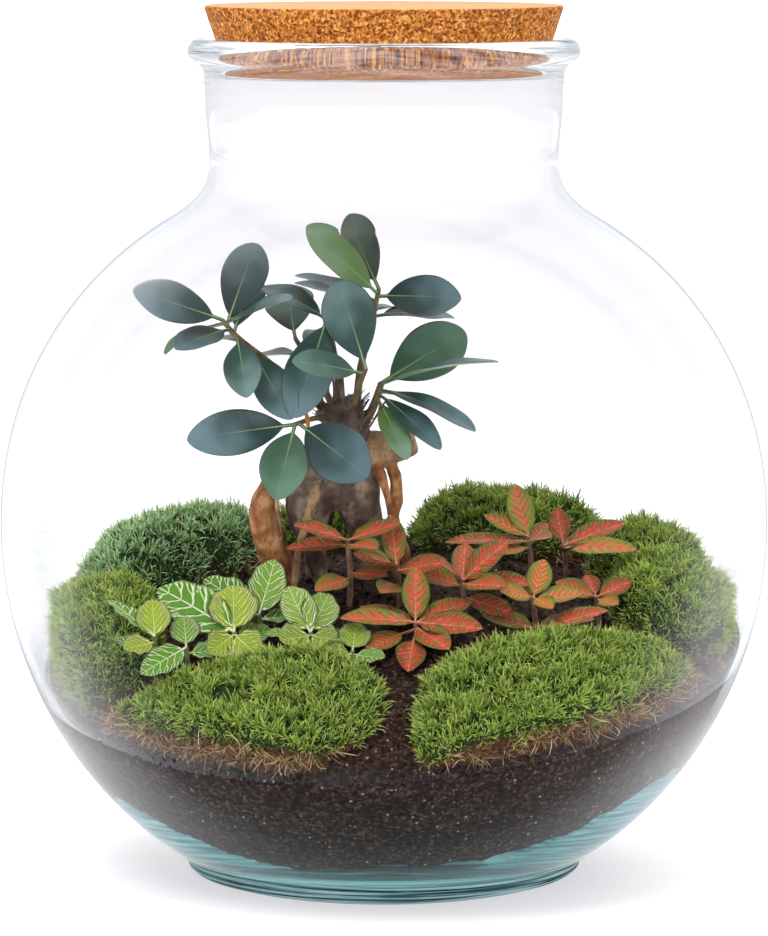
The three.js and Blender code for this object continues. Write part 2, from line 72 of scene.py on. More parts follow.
def skin(rings, ends):
    # Closed skins: rings holds copies x sections x sides x numbers, ends the two closing rows of
    # each copy. A section runs anticlockwise seen from the far end.
    copies, count, sides, width = rings.shape
    side = np.arange(sides)
    after = (side + 1) % sides
    first = np.arange(count - 1)[:, None] * sides
    quads = np.stack([first + side, first + after, first + sides + after, first + sides + side], -1)
    start = np.full(sides, count * sides)
    last = (count - 1) * sides
    fans = [np.stack([start, after, side], -1), np.stack([start + 1, last + side, last + after], -1)]
    shift = np.arange(copies)[:, None, None] * (count * sides + 2)
    rows = np.concatenate([rings.reshape(copies, -1, width), ends], 1).reshape(-1, width)
    quads = (quads.reshape(1, -1, 4) + shift).reshape(-1, 4)
    tris = (np.concatenate(fans)[None] + shift).reshape(-1, 3)
    return rows, quads, tris


def joined(shapes):
    # One shape from several: each is (rows, quads, tris), and the indices are moved along.
    rows, quads, tris, start = [], [], [], 0
    for shapeRows, shapeQuads, shapeTris in shapes:
        rows.append(shapeRows)
        quads.append(shapeQuads + start)
        tris.append(shapeTris + start)
        start += len(shapeRows)
    return np.concatenate(rows), np.concatenate(quads), np.concatenate(tris)


def unit(vectors):
    return vectors / np.maximum(np.linalg.norm(vectors, axis=-1, keepdims=True), 1e-9)


def outwardOf(points):
    # The level direction away from the jar's axis
    return unit(points * [1, 1, 0])


def evenTurn(count):
    # That many angles, evenly round a circle
    return np.arange(count) / count * 2 * math.pi


def between(ends, share):
    return ends[0] + (ends[1] - ends[0]) * share


def smoothStep(low, high, value):
    share = np.clip((value - low) / (high - low), 0, 1)
    return share * share * (3 - 2 * share)


def softNoise(points, size, seed):
    # Value noise from -1 to 1: fixed random numbers on a lattice of that size in mm, blended by
    # the smooth step of the place between its corners
    place = np.asarray(points) / size
    cell = np.floor(place).astype(np.int64)
    share = place - cell
    share = share * share * (3 - 2 * share)
    total = np.zeros(place.shape[:-1])
    for corner in itertools.product((0, 1), repeat=3):
        x, y, z = np.moveaxis(cell + corner, -1, 0)
        mixed = (x * 73856093) ^ (y * 19349663) ^ (z * 83492791) ^ (seed * 50331653)
        mixed = ((mixed ^ (mixed >> 13)) * 1274126177) & 0xFFFFFFFF
        mixed = ((mixed ^ (mixed >> 16)) * 668265263) & 0xFFFFFFFF
        weight = np.where(np.array(corner) == 1, share, 1 - share).prod(-1)
        total += weight * ((mixed >> 8) % 65536 / 32767.5 - 1)
    return total


def route(path, times):
    # Uniform Catmull-Rom curve through the rows of path, with the end rows mirrored, at times 0-1
    rows = np.array(path, float)
    rows = np.vstack([2 * rows[0] - rows[1], rows, 2 * rows[-1] - rows[-2]])
    spot = np.asarray(times, float) * (len(path) - 1)
    first = np.minimum(spot.astype(int), len(path) - 2)
    w = (spot - first)[:, None]
    a, b, c, d = (rows[first + k] for k in range(4))
    square = (2 * a - 5 * b + 4 * c - d) * w ** 2
    cube = (3 * b - a - 3 * c + d) * w ** 3
    return (2 * b + (c - a) * w + square + cube) / 2


def tube(path, radii, sides, count, roundEnds=0.6):
    # A round section carried along the path: centre + radius (side cos t + across sin t)
    times = np.linspace(0, 1, count)
    centres = route(path, times)
    along = unit(np.gradient(centres, axis=0))
    size = route([[r] for r in radii], times)
    side = unit(np.array([0.31, 0.95, 0.05]) - along * (along @ [0.31, 0.95, 0.05])[:, None])
    across = np.cross(along, side)
    turn = evenTurn(sides)
    ring = side[:, None] * np.cos(turn)[:, None] + across[:, None] * np.sin(turn)[:, None]
    points = centres[:, None] + ring * size[:, None]
    first = centres[0] - along[0] * size[0] * roundEnds
    last = centres[-1] + along[-1] * size[-1] * roundEnds
    return skin(points[None], np.stack([first, last])[None])


def turned(outline, turns):
    # An outline of radius and height spun round Z. It starts and ends on the axis.
    turn = evenTurn(turns)
    around = np.stack([np.sin(turn), -np.cos(turn), 0 * turn], -1)
    rings = outline[1:-1, None, :1] * around + outline[1:-1, None, 1:] * [0, 0, 1]
    ends = np.array([[0, 0, outline[0, 1]], [0, 0, outline[-1, 1]]])
    return skin(rings[None], ends[None])


# Materials

def colour(code):
    # A linear colour from an sRGB hex value
    parts = [int(code[k:k + 2], 16) / 255 for k in (1, 3, 5)]
    return [p / 12.92 if p <= 0.04045 else ((p + 0.055) / 1.055) ** 2.4 for p in parts] + [1.0]


def addNode(material, kind, inputs=None, stops=None, **settings):
    # Adds a node. An input is a number, a hex colour, a node (its first live output) or a pair of
    # a node and an output.
    tree = material.node_tree
    made = tree.nodes.new("ShaderNode" + kind)
    for label, value in settings.items():
        setattr(made, label, value)
    for place, (position, shade) in enumerate(stops or []):
        elements = made.color_ramp.elements
        element = elements[place] if place < 2 else elements.new(position)
        element.position = position
        element.color = colour(shade)
    for socket, value in (inputs or {}).items():
        if isinstance(value, tuple):
            tree.links.new(value[0].outputs[value[1]], made.inputs[socket])
        elif isinstance(value, bpy.types.Node):
            tree.links.new(next(o for o in value.outputs if o.enabled), made.inputs[socket])
        else:
            made.inputs[socket].default_value = colour(value) if isinstance(value, str) else value
    return made


def remap(material, value, low, high, start=0.0, end=1.0, kind="LINEAR"):
    inputs = {0: value, 1: low, 2: high, 3: start, 4: end}
    return addNode(material, "MapRange", inputs, interpolation_type=kind)


def calculate(material, operation, first, second=None):
    inputs = {0: first} if second is None else {0: first, 1: second}
    return addNode(material, "Math", inputs, operation=operation)


def product(material, *values):
    total = values[0]
    for value in values[1:]:
        total = calculate(material, "MULTIPLY", total, value)
    return total


def blend(material, share, first, second):
    return addNode(material, "Mix", {0: share, 6: first, 7: second}, data_type="RGBA")


def ramp(material, value, *stops):
    # Colour stops: the lowest one, the highest one, then those between
    return addNode(material, "ValToRGB", {0: value}, stops)


def noise(material, place, scale, detail, roughness=0.5):
    return addNode(material, "TexNoise", {"Vector": place, "Scale": scale, "Detail": detail,
                                          "Roughness": roughness})


def objectPlace(material):
    return addNode(material, "TexCoord"), "Object"


def attributeParts(material, name):
    # The three numbers that a piece carries at each point
    source = addNode(material, "Attribute", attribute_name=name)
    parts = addNode(material, "SeparateXYZ", {0: (source, "Vector")})
    return [(parts, axis) for axis in "XYZ"]


def shaderBlend(material, share, first, second):
    return addNode(material, "MixShader", {0: share, 1: first, 2: second})


def surfaced(material, tone, roughness, specular=0.5, bump=None, sheen=0.0):
    # A Principled surface; bump is the strength, the depth in metres and the height of its relief.
    inputs = {"Base Color": tone, "Roughness": roughness, "Specular IOR Level": specular,
              "Sheen Weight": sheen}
    if bump:
        inputs["Normal"] = addNode(material, "Bump", dict(zip(("Strength", "Distance", "Height"), bump)))
    addNode(material, "OutputMaterial", {"Surface": addNode(material, "BsdfPrincipled", inputs)})
    return material


def newMaterial(name):
    material = bpy.data.materials.new(name)
    material.use_nodes = True
    material.node_tree.nodes.clear()
    return material


def patternScale(size):
    # Repeats a metre for a pattern of that size in mm
    return 1 / (size * millimetre)


def sodaLimeGlass():
    # Blown soda-lime glass, fire-polished: clear in the thin wall, with the blue-green of its iron
    # in the thick foot. It bends light as glass does, but mirrors only what grazes it, as glass in
    # a white room seems to. Light that shades or lights a surface goes straight, and so does most
    # of what grazes the thin wall, because its edge merges with the backdrop. On the base's inner face,
    # the foot and the lip, the streaks that light makes on its way through thick glass are painted
    # light: a matt layer of pale and dark lines, with painted highlights at the lip. The grazed lower
    # wall carries a faint painted reflection, and the very rim a painted lilac hairline of shade.
    material = newMaterial("sodaLimeGlass")
    paintedVeilShare, atLip, inner = attributeParts(material, "trait")
    height = (addNode(material, "SeparateXYZ", {0: objectPlace(material)}), "Z")
    facing = (addNode(material, "LayerWeight", {"Blend": 0.5}), "Facing")
    tone = blend(material, remap(material, height, 0.07, 0.014), "#fbfafb", "#b2dcde")
    mirror = remap(material, addNode(material, "Fresnel", {"IOR": 1.5}), 0.05, 1.0)
    bent = addNode(material, "BsdfRefraction", {"Color": tone, "Roughness": 0.0, "IOR": 1.5})
    shine = addNode(material, "BsdfAnisotropic", {"Color": "#ffffff", "Roughness": 0.0})
    glass = shaderBlend(material, mirror, bent, shine)
    outer = calculate(material, "SUBTRACT", 1.0, inner)
    flow = addNode(material, "Attribute", attribute_name="flow")
    lines = noise(material, (flow, "Vector"), 1.0, 4.0, 0.6)
    # painted light and shade: teal streaks on the base's inner face, dark and pale rings round the foot,
    # white highlights and grey lines at the lip
    baseLines = ramp(material, lines, (0.3, "#33555a"), (0.7, "#b9d8d8"), (0.43, "#5b8d92"),
                     (0.54, "#7fb0b3"))
    footLines = ramp(material, lines, (0.4, "#16292c"), (0.6, "#bddcde"), (0.47, "#3c5b5f"),
                     (0.52, "#76a2a6"))
    lipLines = ramp(material, lines, (0.4, "#49575c"), (0.56, "#ffffff"), (0.48, "#b4c1c6"))
    paintedVeilTone = blend(material, atLip, blend(material, outer, baseLines, footLines), lipLines)
    paintedVeilShader = addNode(material, "BsdfDiffuse", {"Color": paintedVeilTone})
    # painted light on the inner face of the base, a gleam where it is grazed: the flatter the light, the
    # higher up it reaches
    rise = remap(material, facing, 0.25, 0.29, 0.021, 0.034)
    climb = remap(material, facing, 0.289, 0.302, 0.0, 0.012, "SMOOTHSTEP")
    wobble = remap(material, lines, 0.0, 1.0, -0.002, 0.002)
    gleamTop = calculate(material, "ADD", calculate(material, "ADD", rise, climb), wobble)
    reached = remap(material, calculate(material, "SUBTRACT", gleamTop, height), -0.0004, 0.0014)
    calm = calculate(material, "MAXIMUM", remap(material, facing, 0.245, 0.285, 0.45), outer)
    gleam = calculate(material, "MAXIMUM", product(material, reached, calm), atLip)
    withPaintedVeil = shaderBlend(material, product(material, gleam, paintedVeilShare), glass, paintedVeilShader)
    # a faint painted reflection, pale grey, where the lower wall is grazed
    grazed = remap(material, facing, 0.45, 0.95, 0.0, 0.42)
    paintedHaze = product(material, grazed, remap(material, height, 0.025, 0.055), outer,
                   remap(material, height, 0.1, 0.08))
    withPaintedHaze = shaderBlend(material, paintedHaze, withPaintedVeil, addNode(material, "BsdfDiffuse", {"Color": "#d8d8da"}))
    # the thin wall grows clear at the rim, down to a painted lilac hairline of shade at its very edge
    graze = remap(material, facing, 0.35, 0.8, 0.0, 0.94, "SMOOTHSTEP")
    rim = product(material, graze, remap(material, height, 0.06, 0.105),
                  remap(material, height, 0.29, 0.235, kind="SMOOTHSTEP"))
    # painted shade: the very edge tints what shows through it lilac
    edge = product(material, remap(material, facing, 0.86, 0.97), outer)
    light = addNode(material, "LightPath")
    dull = calculate(material, "MAXIMUM", (light, "Is Shadow Ray"), (light, "Is Diffuse Ray"))
    clearTone = blend(material, dull, blend(material, edge, "#fefdfe", "#d2ced6"), "#fdfcfd")
    clear = addNode(material, "BsdfTransparent", {"Color": clearTone})
    surface = shaderBlend(material, calculate(material, "MAXIMUM", dull, rim), withPaintedHaze, clear)
    tint = addNode(material, "VolumeAbsorption", {"Color": "#8fdcdc", "Density": 5.0})
    addNode(material, "OutputMaterial", {"Surface": surface, "Volume": tint})
    return material


def pressedCork():
    # Pressed cork: granules of 1 to 2.5 mm in tan and orange-brown, with small dark pits between
    # them, matt from sanding; its upward face is painted paler, as light from above falls on it
    material = newMaterial("pressedCork")
    place = objectPlace(material)
    wobble = noise(material, place, patternScale(1.1), 3.0)
    bent = addNode(material, "Mix", {0: 0.0016, 4: place, 5: (wobble, "Color")}, data_type="VECTOR",
                   clamp_factor=False)
    grains = addNode(material, "TexVoronoi", {"Vector": (bent, 1), "Scale": patternScale(1.15)})
    lot = addNode(material, "SeparateColor", {0: (grains, "Color")})
    tone = ramp(material, (lot, 0), (0.0, "#8a430f"), (1.0, "#f2aa5a"), (0.25, "#ad5f1c"),
                (0.65, "#cf8434"))
    pit = remap(material, noise(material, place, patternScale(1.0), 4.0, 0.65), 0.5, 0.4)
    up = addNode(material, "SeparateXYZ", {0: (place[0], "Normal")})
    # painted light: what faces up is made paler, as if lit from above
    litTop = remap(material, (up, "Z"), 0.6, 0.95, 0.0, 0.65)
    mixed = blend(material, litTop, blend(material, pit, tone, "#5f2a06"), "#f0c394")
    height = calculate(material, "SUBTRACT", (lot, 1), pit)
    return surfaced(material, mixed, 0.82, 0.25, (0.5, 0.0004, height))


def pottingSoil():
    # Damp peat potting soil: near-black brown crumbs with red-brown fibre, rust and pale specks
    material = newMaterial("pottingSoil")
    place = objectPlace(material)
    crumbs = noise(material, place, patternScale(2.0), 8.0, 0.78)
    base = ramp(material, crumbs, (0.36, "#0f0908"), (0.68, "#7d6356"), (0.52, "#30211c"))
    cells = addNode(material, "TexVoronoi", {"Vector": place, "Scale": patternScale(1.5)})
    lot = addNode(material, "SeparateColor", {0: (cells, "Color")})
    fleckTone = ramp(material, (lot, 1), (0.0, "#5c2f22"), (1.0, "#b3a393"), (0.5, "#74402b"),
                     (0.8, "#9a5c34"), (0.86, "#b3a393"))
    fleck = product(material, remap(material, (lot, 0), 0.8, 0.86),
                    remap(material, (cells, "Distance"), 0.45, 0.2))
    return surfaced(material, blend(material, fleck, base, fleckTone), 0.85, 0.3, (0.9, 0.001, crumbs))


def figBark():
    # Thin fig bark over swollen roots: grey-brown on the trunk, orange-brown on the outer roots,
    # pale tan on the long thin ones and on the old cut, dark round the graft, all finely pitted
    material = newMaterial("figBark")
    place = objectPlace(material)
    squeezed = addNode(material, "Mapping", {"Vector": place, "Scale": [1.0, 1.0, 0.6]})
    wrinkles = noise(material, squeezed, patternScale(1.6), 6.0, 0.65)
    patches = noise(material, place, patternScale(6), 5.0)
    tone = ramp(material, patches, (0.38, "#4f413b"), (0.66, "#a8907e"), (0.52, "#75614f"))
    orange = ramp(material, patches, (0.38, "#8a5530"), (0.66, "#d6a470"), (0.52, "#b4783f"))
    pale = ramp(material, patches, (0.38, "#8e6c4c"), (0.66, "#c9a67c"))
    dusky = ramp(material, patches, (0.38, "#40332e"), (0.66, "#7d6a60"))
    for share, bark in zip(attributeParts(material, "trait"), (orange, pale, dusky)):
        tone = blend(material, share, tone, bark)
    mixed = blend(material, remap(material, wrinkles, 0.32, 0.45, 0.25), "#35231a", tone)
    return surfaced(material, mixed, 0.58, 0.45, (0.9, 0.0008, wrinkles))


def veinPattern(material, look):
    # Side veins leave the midrib in pairs and lean to the tip: the place along the leaf, less
    # slant x the distance from the midrib and curve x its square, folded every spacing mm on a leaf
    # of usual length. Each vein forks twice on its way out: the fold is folded again round a growing
    # offset.
    place = (addNode(material, "Attribute", attribute_name="place"), "Vector")
    across, along, depth = attributeParts(material, "place")
    out, luck, youth = attributeParts(material, "trait")
    away = calculate(material, "ABSOLUTE", across)
    straight = calculate(material, "SUBTRACT", along, product(material, away, look["slant"]))
    run = calculate(material, "SUBTRACT", straight, product(material, away, away, look["curve"]))
    wander = remap(material, noise(material, place, 0.22, 2.0), 0.0, 1.0, -look["wander"], look["wander"])
    step = product(material, calculate(material, "ADD", run, wander), 1 / look["spacing"])
    near = calculate(material, "PINGPONG", step, 0.5)
    for fork in (remap(material, out, 0.3, 0.8, 0.0, 0.25, "SMOOTHSTEP"),
                 remap(material, out, 0.62, 1.0, 0.0, 0.12)):
        near = calculate(material, "ABSOLUTE", calculate(material, "SUBTRACT", near, fork))
    width = remap(material, out, 0.0, 1.0, look["thick"], look["fine"])
    ribAway = product(material, away, remap(material, along, 0.0, look["length"], 1.0, 2.6))
    return {
        "place": place, "along": along, "out": out, "luck": luck, "youth": youth, "near": near,
        "side": remap(material, calculate(material, "DIVIDE", near, width), 1.0, 0.5),
        "rib": remap(material, ribAway, look["midrib"], look["midrib"] * 0.5),
        "under": remap(material, depth, -0.02, -0.2)}


figLook = {"spacing": 2.4, "slant": 0.5, "curve": 0.015, "wander": 0.5, "thick": 0.1, "fine": 0.05,
           "midrib": 0.38, "length": 34}


def figLeafSkin():
    # Waxy fig leaf: dark blue-green with a soft gloss and, towards its tip, a painted bluish sheen
    # that stands for the white surroundings mirrored in its cuticle; a narrow midrib that is bright
    # only near the stalk, hardly any side veins, a thin brownish edge, and a lighter, duller underside
    material = newMaterial("figLeafSkin")
    veins = veinPattern(material, figLook)
    # painted reflection: soft patches of pale grey-blue, more of them towards the tip
    sheenNoise = noise(material, veins["place"], 0.05, 1.0)
    along = remap(material, veins["along"], 2.0, 34.0, -0.13, 0.16)
    sheenShare = remap(material, calculate(material, "ADD", sheenNoise, along), 0.36, 0.72, kind="SMOOTHSTEP")
    tone = ramp(material, veins["luck"], (0.0, "#20393a"), (1.0, "#375c40"), (0.5, "#27443f"),
                (0.8, "#2b4e47"))
    paintedSheen = ramp(material, veins["luck"], (0.0, "#4c696d"), (1.0, "#547c62"), (0.5, "#68868c"))
    shade = blend(material, sheenShare, tone, paintedSheen)
    veined = blend(material, product(material, veins["side"], 0.04), shade, "#93b3a2")
    edged = blend(material, remap(material, veins["out"], 0.955, 0.985, 0.0, 0.8), veined, "#5f5348")
    rib = product(material, veins["rib"], remap(material, veins["along"], 0.0, 24.0, 0.9, 0.22))
    ribbed = blend(material, rib, edged, "#8fb46a")
    under = blend(material, veins["rib"], "#769a78", "#a9c487")
    whole = blend(material, veins["under"], blend(material, veins["youth"], ribbed, "#7fae3c"), under)
    crease = remap(material, veins["near"], 0.0, 0.15)
    dent = calculate(material, "SUBTRACT", crease, veins["rib"])
    return surfaced(material, whole, 0.32, 0.7, (0.12, 0.0003, dent))


def stemRind(name, size, low, high, roughness, specular=0.5, sheen=0.0):
    # Young rind, dried or green: patches of two near tones, soft with hairs where it has a sheen
    material = newMaterial(name)
    patches = noise(material, objectPlace(material), patternScale(size), 3.0)
    tone = ramp(material, patches, (0.35, low), (0.65, high))
    return surfaced(material, tone, roughness, specular, sheen=sheen)


def netLeafSkin(name, look):
    # Nerve plant leaf: quilted skin, sunk along its coloured veins, which branch from the midrib
    # like small trees and stop short of the edge. In the red kind the heart of the blade is
    # coloured too; it ends raggedly and holds small green islands.
    material = newMaterial(name)
    veins = veinPattern(material, look)
    out, luck, youth = veins["out"], veins["luck"], veins["youth"]
    fade = remap(material, out, 0.98, 0.86, 0.0, look["veinShare"])
    shown = calculate(material, "MAXIMUM", product(material, veins["side"], fade), veins["rib"])
    tone = ramp(material, luck, *look["blade"])
    quilt = remap(material, veins["near"], 0.02, 0.16, 0.35, 0.0)
    young = blend(material, youth, blend(material, quilt, tone, look["pale"]), look["young"])
    ragged = noise(material, veins["place"], 0.55, 4.0)
    drifted = calculate(material, "ADD", out, remap(material, ragged, 0.0, 1.0, -0.75, 0.75))
    reach = calculate(material, "ADD", drifted, remap(material, luck, 0.0, 1.0, -0.1, 0.26))
    speck = noise(material, veins["place"], 0.62, 3.0)
    heart = product(material, remap(material, reach, 0.84, 0.66, 0.0, look["heartShare"]),
                    remap(material, speck, 0.53, 0.58, 1.0, 0.2))
    core = calculate(material, "MAXIMUM", remap(material, out, 0.55, 0.1, 0.0, 0.6),
                     remap(material, speck, 0.46, 0.41, 0.0, 0.8))
    warm = blend(material, core, ramp(material, luck, *look["heart"]), look["core"])
    hearted = blend(material, heart, young, blend(material, youth, warm, look["youngHeart"]))
    veined = blend(material, shown, hearted, blend(material, youth, look["vein"], look["youngVein"]))
    whole = blend(material, veins["under"], veined, look["under"])
    bulge = calculate(material, "SUBTRACT", remap(material, veins["near"], 0.0, 0.22), veins["rib"])
    return surfaced(material, whole, 0.42, 0.45, (0.8, 0.0008, bulge))


def mossLeaf(name, live, shaded):
    # Fresh moss leaves: dark at the foot, bright tips, tan to red-brown where they have died off
    material = newMaterial(name)
    share, luck, old = attributeParts(material, "trait")
    varied = blend(material, luck, ramp(material, share, *live), ramp(material, share, *shaded))
    dead = ramp(material, luck, (0.0, "#694536"), (1.0, "#e6d2a4"), (0.35, "#8f6648"), (0.7, "#b99a6a"))
    return surfaced(material, blend(material, old, varied, dead), 0.5, 0.35)


def mossBase():
    # The matted inside of a moss cushion: dark green to brown, rough
    material = newMaterial("mossBase")
    tangle = noise(material, objectPlace(material), patternScale(1.2), 4.0)
    old = attributeParts(material, "trait")[2]
    green = ramp(material, tangle, (0.3, "#101d0b"), (0.7, "#33511c"))
    brown = ramp(material, tangle, (0.3, "#2a1a12"), (0.7, "#6e4a2f"))
    return surfaced(material, blend(material, old, green, brown), 0.9, bump=(1.0, 0.001, tangle))


def paleFloor():
    # Matt white studio paper, lifted by the light behind and under it so that it stays white
    material = newMaterial("paleFloor")
    depth = (addNode(material, "LightPath"), "Glossy Depth")
    mirrored = calculate(material, "GREATER_THAN", depth, 0.5)
    glow = remap(material, mirrored, 0.0, 1.0, studio["floorGlow"], studio["floorMirror"])
    surface = addNode(material, "BsdfPrincipled", {
        "Base Color": "#f4f4f7", "Roughness": 0.9, "Specular IOR Level": 0.0,
        "Emission Color": "#fafafe", "Emission Strength": glow})
    addNode(material, "OutputMaterial", {"Surface": surface})
    return material


# Studio: camera as far off and as steep as the photograph's, white surroundings, soft lights
# above. Mirrored light sees white behind and above but a dim room in front and a greyer floor, so
# that the globe stays clear.

studio = {
    "cameraPlace": (0.0, -1.9, 0.383), "cameraTilt": 83.3, "lens": 187.8,
    "floorRadius": 30.0, "floorSides": 64, "floorGlow": 0.5, "floorMirror": 0.6, "backdrop": 1.14,
    "ambient": 0.85, "darkFrom": -0.7, "brightFrom": -0.1, "dimSide": 0.035,
    "keyPower": 22.0, "keySize": 1.3, "keyPlace": (-0.45, -0.75, 1.9),
    "fillPower": 8.0, "fillPlace": (0.7, 0.6, 1.7),
}


def makeWorld():
    world = bpy.data.worlds.new("white surroundings")
    world.use_nodes = True
    world.node_tree.nodes.clear()
    path = addNode(world, "LightPath")
    toward = addNode(world, "SeparateXYZ", {0: (addNode(world, "TexCoord"), "Generated")})
    behind = remap(world, (toward, "Y"), studio["darkFrom"], studio["brightFrom"])
    ceiling = remap(world, (toward, "Z"), 0.5, 0.9, 0.0, 0.8)
    lit = calculate(world, "MAXIMUM", behind, ceiling)
    room = remap(world, lit, 0.0, 1.0, studio["dimSide"], 1.0)
    mirrored = calculate(world, "GREATER_THAN", (path, "Glossy Depth"), 0.5)
    straight = calculate(world, "MAXIMUM", (path, "Is Camera Ray"), (path, "Is Transmission Ray"))
    level = remap(world, straight, 0.0, 1.0, studio["ambient"], studio["backdrop"])
    plain = addNode(world, "Background", {"Color": "#ffffff", "Strength": level})
    dim = addNode(world, "Background", {"Color": "#f8f8fb", "Strength": room})
    addNode(world, "OutputWorld", {"Surface": shaderBlend(world, mirrored, plain, dim)})
    bpy.context.scene.world = world


def makeLamp(name, place, power):
    lamp = bpy.data.lights.new(name, "AREA")
    lamp.shape = "DISK"
    lamp.size = studio["keySize"]
    lamp.energy = power
    light = bpy.data.objects.new(name, lamp)
    light.location = place
    aim = np.array([0, 0, 0.13]) - place
    tilt = math.acos(aim[2] / np.linalg.norm(aim)) - math.pi
    light.rotation_euler = (tilt, 0, math.atan2(aim[0], -aim[1]))
    light.visible_camera = light.visible_glossy = light.visible_transmission = False
    bpy.context.collection.objects.link(light)


def makeStudio():
    camera = bpy.data.objects.new("camera", bpy.data.cameras.new("camera"))
    camera.location = studio["cameraPlace"]
    camera.rotation_euler = (math.radians(studio["cameraTilt"]), 0, 0)
    camera.data.lens = studio["lens"]
    camera.data.sensor_width = 36
    camera.data.clip_end = 100
    bpy.context.collection.objects.link(camera)
    bpy.context.scene.camera = camera
    makeLamp("key", studio["keyPlace"], studio["keyPower"])
    makeLamp("fill", studio["fillPlace"], studio["fillPower"])
    makeWorld()
    sides = studio["floorSides"]
    side, turn = np.arange(sides), evenTurn(sides)
    rim = np.stack([np.cos(turn), np.sin(turn), 0 * turn], -1) * studio["floorRadius"] / millimetre
    points = np.vstack([rim, [[0, 0, 0]]])
    tris = np.stack([np.full(sides, sides), side, (side + 1) % sides], -1)
    floor = addMesh("floor", points, np.zeros((0, 4), int), tris, [paleFloor()])
    floor.visible_glossy = False
    scene = bpy.context.scene
    scene.view_settings.view_transform = "Standard"
    scene.cycles.max_bounces = 24
    scene.cycles.diffuse_bounces = 4
    scene.cycles.glossy_bounces = 16
    scene.cycles.transmission_bounces = 20
    scene.cycles.transparent_max_bounces = 16


makeStudio()
print("studio ready")


# The jar: the globe is an ellipse below its middle and a fuller curve above, on a ring foot with
# rolled edges, under a short neck and a beaded lip

globe = {"radius": 150, "middle": 138.5, "lowerHeight": 154, "upperHeight": 141.5, "power": 2.08}
cavity = {"radius": 146.8, "floor": 12, "floorRadius": 56, "corner": 4, "cornerPower": 0.45,
          "lowerHeight": 148, "upperHeight": 138.7}
thickBase = {"extra": 9, "full": 10, "gone": 70}
foot = {"punt": 4, "inner": 61, "outer": 69, "step": 74, "stepHeight": 2.2, "heel": 7,
        "ring": 0.3, "ringSpacing": 2.9, "ringTop": 13, "ringFull": 8, "fineTop": 16}
streaks = {"coil": 9, "size": 3.2, "heights": (60, 40), "depth": 0.012}
neck = {"outer": 67.9, "waist": 281, "top": 305, "flare": 1.6, "inner": 65.6, "innerFlare": 0.7}
lip = {"middle": 71.3, "height": 322.8, "radius": 4.9, "mouth": 70, "below": 8.5, "throat": 7,
       "beadArc": (-60, 165)}
shoulder = {"height": 258, "corner": (68, 267.4), "pull": 0.75}
# shares and heights of the painted light streaks on the base's inner face, the lip and the foot
paintedVeil = {"base": 0.8, "lip": 0.12, "foot": 0.72, "baseTop": (70, 62), "baseFull": 22, "footFrom": (0.3, 2),
        "footTo": (12, 8)}
wallThickness = {"heights": [138.5, 200, 258, 281, 305], "values": [3.2, 2.6, 2.1, 2.3, 3.0]}


def globeRadius(z, side):
    # Radius at a height: with h the share of the way down or up from the middle, it is
    # sqrt(1 - h^2) below and (1 - h^power)^(1 / power) above, times the side's own radius
    below = side["radius"] * np.sqrt(np.clip(1 - ((globe["middle"] - z) / side["lowerHeight"]) ** 2, 0, 1))
    rise = np.clip((z - globe["middle"]) / side["upperHeight"], 0, 1)
    above = side["radius"] * (1 - rise ** globe["power"]) ** (1 / globe["power"])
    return np.where(z < globe["middle"], below, above)


def wallRadius(z):
    # Radius of the cavity at a height: its own curve less the extra glass near the base, and a
    # rounded corner to its floor, floorRadius + width (height / corner)^cornerPower
    def wall(z):
        extra = thickBase["extra"] * smoothStep(thickBase["gone"], thickBase["full"], z)
        return globeRadius(z, cavity) - extra

    top = cavity["floor"] + cavity["corner"]
    share = np.clip((z - cavity["floor"]) / cavity["corner"], 0, 1)
    corner = cavity["floorRadius"] + (wall(top) - cavity["floorRadius"]) * share ** cavity["cornerPower"]
    return np.where(z < top, corner, wall(z))


def roundedArc(start, corner, end, pull, count):
    # Cubic Bezier arc from start to end whose handles reach a share pull of the way to the corner
    t = np.linspace(0, 1, count)[:, None]
    start, corner, end = np.array(start, float), np.array(corner, float), np.array(end, float)
    near = start + pull * (corner - start)
    far = end + pull * (corner - end)
    return (1 - t) ** 3 * start + 3 * t * (1 - t) ** 2 * near + 3 * t ** 2 * (1 - t) * far + t ** 3 * end


def jarOutside():
    # The outside from the foot's step up to the lip, with fine rings round the foot
    outer = {key: globe[key] for key in ("radius", "lowerHeight", "upperHeight")}
    low = np.linspace(foot["stepHeight"], foot["fineTop"], 57)
    swell = smoothStep(foot["stepHeight"] - 4, foot["heel"], low)
    reach = foot["step"] + (globeRadius(foot["heel"], outer) - foot["step"]) * swell
    reach = np.where(low < foot["heel"], reach, globeRadius(low, outer))
    fade = smoothStep(foot["ringTop"], foot["ringFull"], low)
    ring = foot["ring"] * np.sin(low / foot["ringSpacing"] * 2 * math.pi) * fade
    heights = np.linspace(foot["fineTop"] + 1, shoulder["height"], 130)
    side = np.stack([globeRadius(heights, outer), heights], -1)
    waist = (neck["outer"], neck["waist"])
    fillet = roundedArc(side[-1], shoulder["corner"], waist, shoulder["pull"], 24)[1:]
    up = np.linspace(neck["waist"] + 2, lip["height"] - lip["below"], 18)
    tall = neck["outer"] + neck["flare"] * smoothStep(neck["waist"], neck["top"], up)
    tall = tall + (lip["mouth"] - neck["outer"] - neck["flare"]) * smoothStep(neck["top"], up[-1], up)
    turn = np.radians(np.linspace(*lip["beadArc"], 30))
    bead = [lip["middle"] + lip["radius"] * np.cos(turn), lip["height"] + lip["radius"] * np.sin(turn)]
    root = [(lip["mouth"] + 0.8, lip["height"] - lip["below"] + 2), (lip["mouth"] + 2.1, lip["height"] - 5)]
    wall = np.vstack([np.stack([reach + ring, low], -1), side, fillet, np.stack([tall, up], -1)])
    return wall, np.vstack([root, np.stack(bead, -1)])


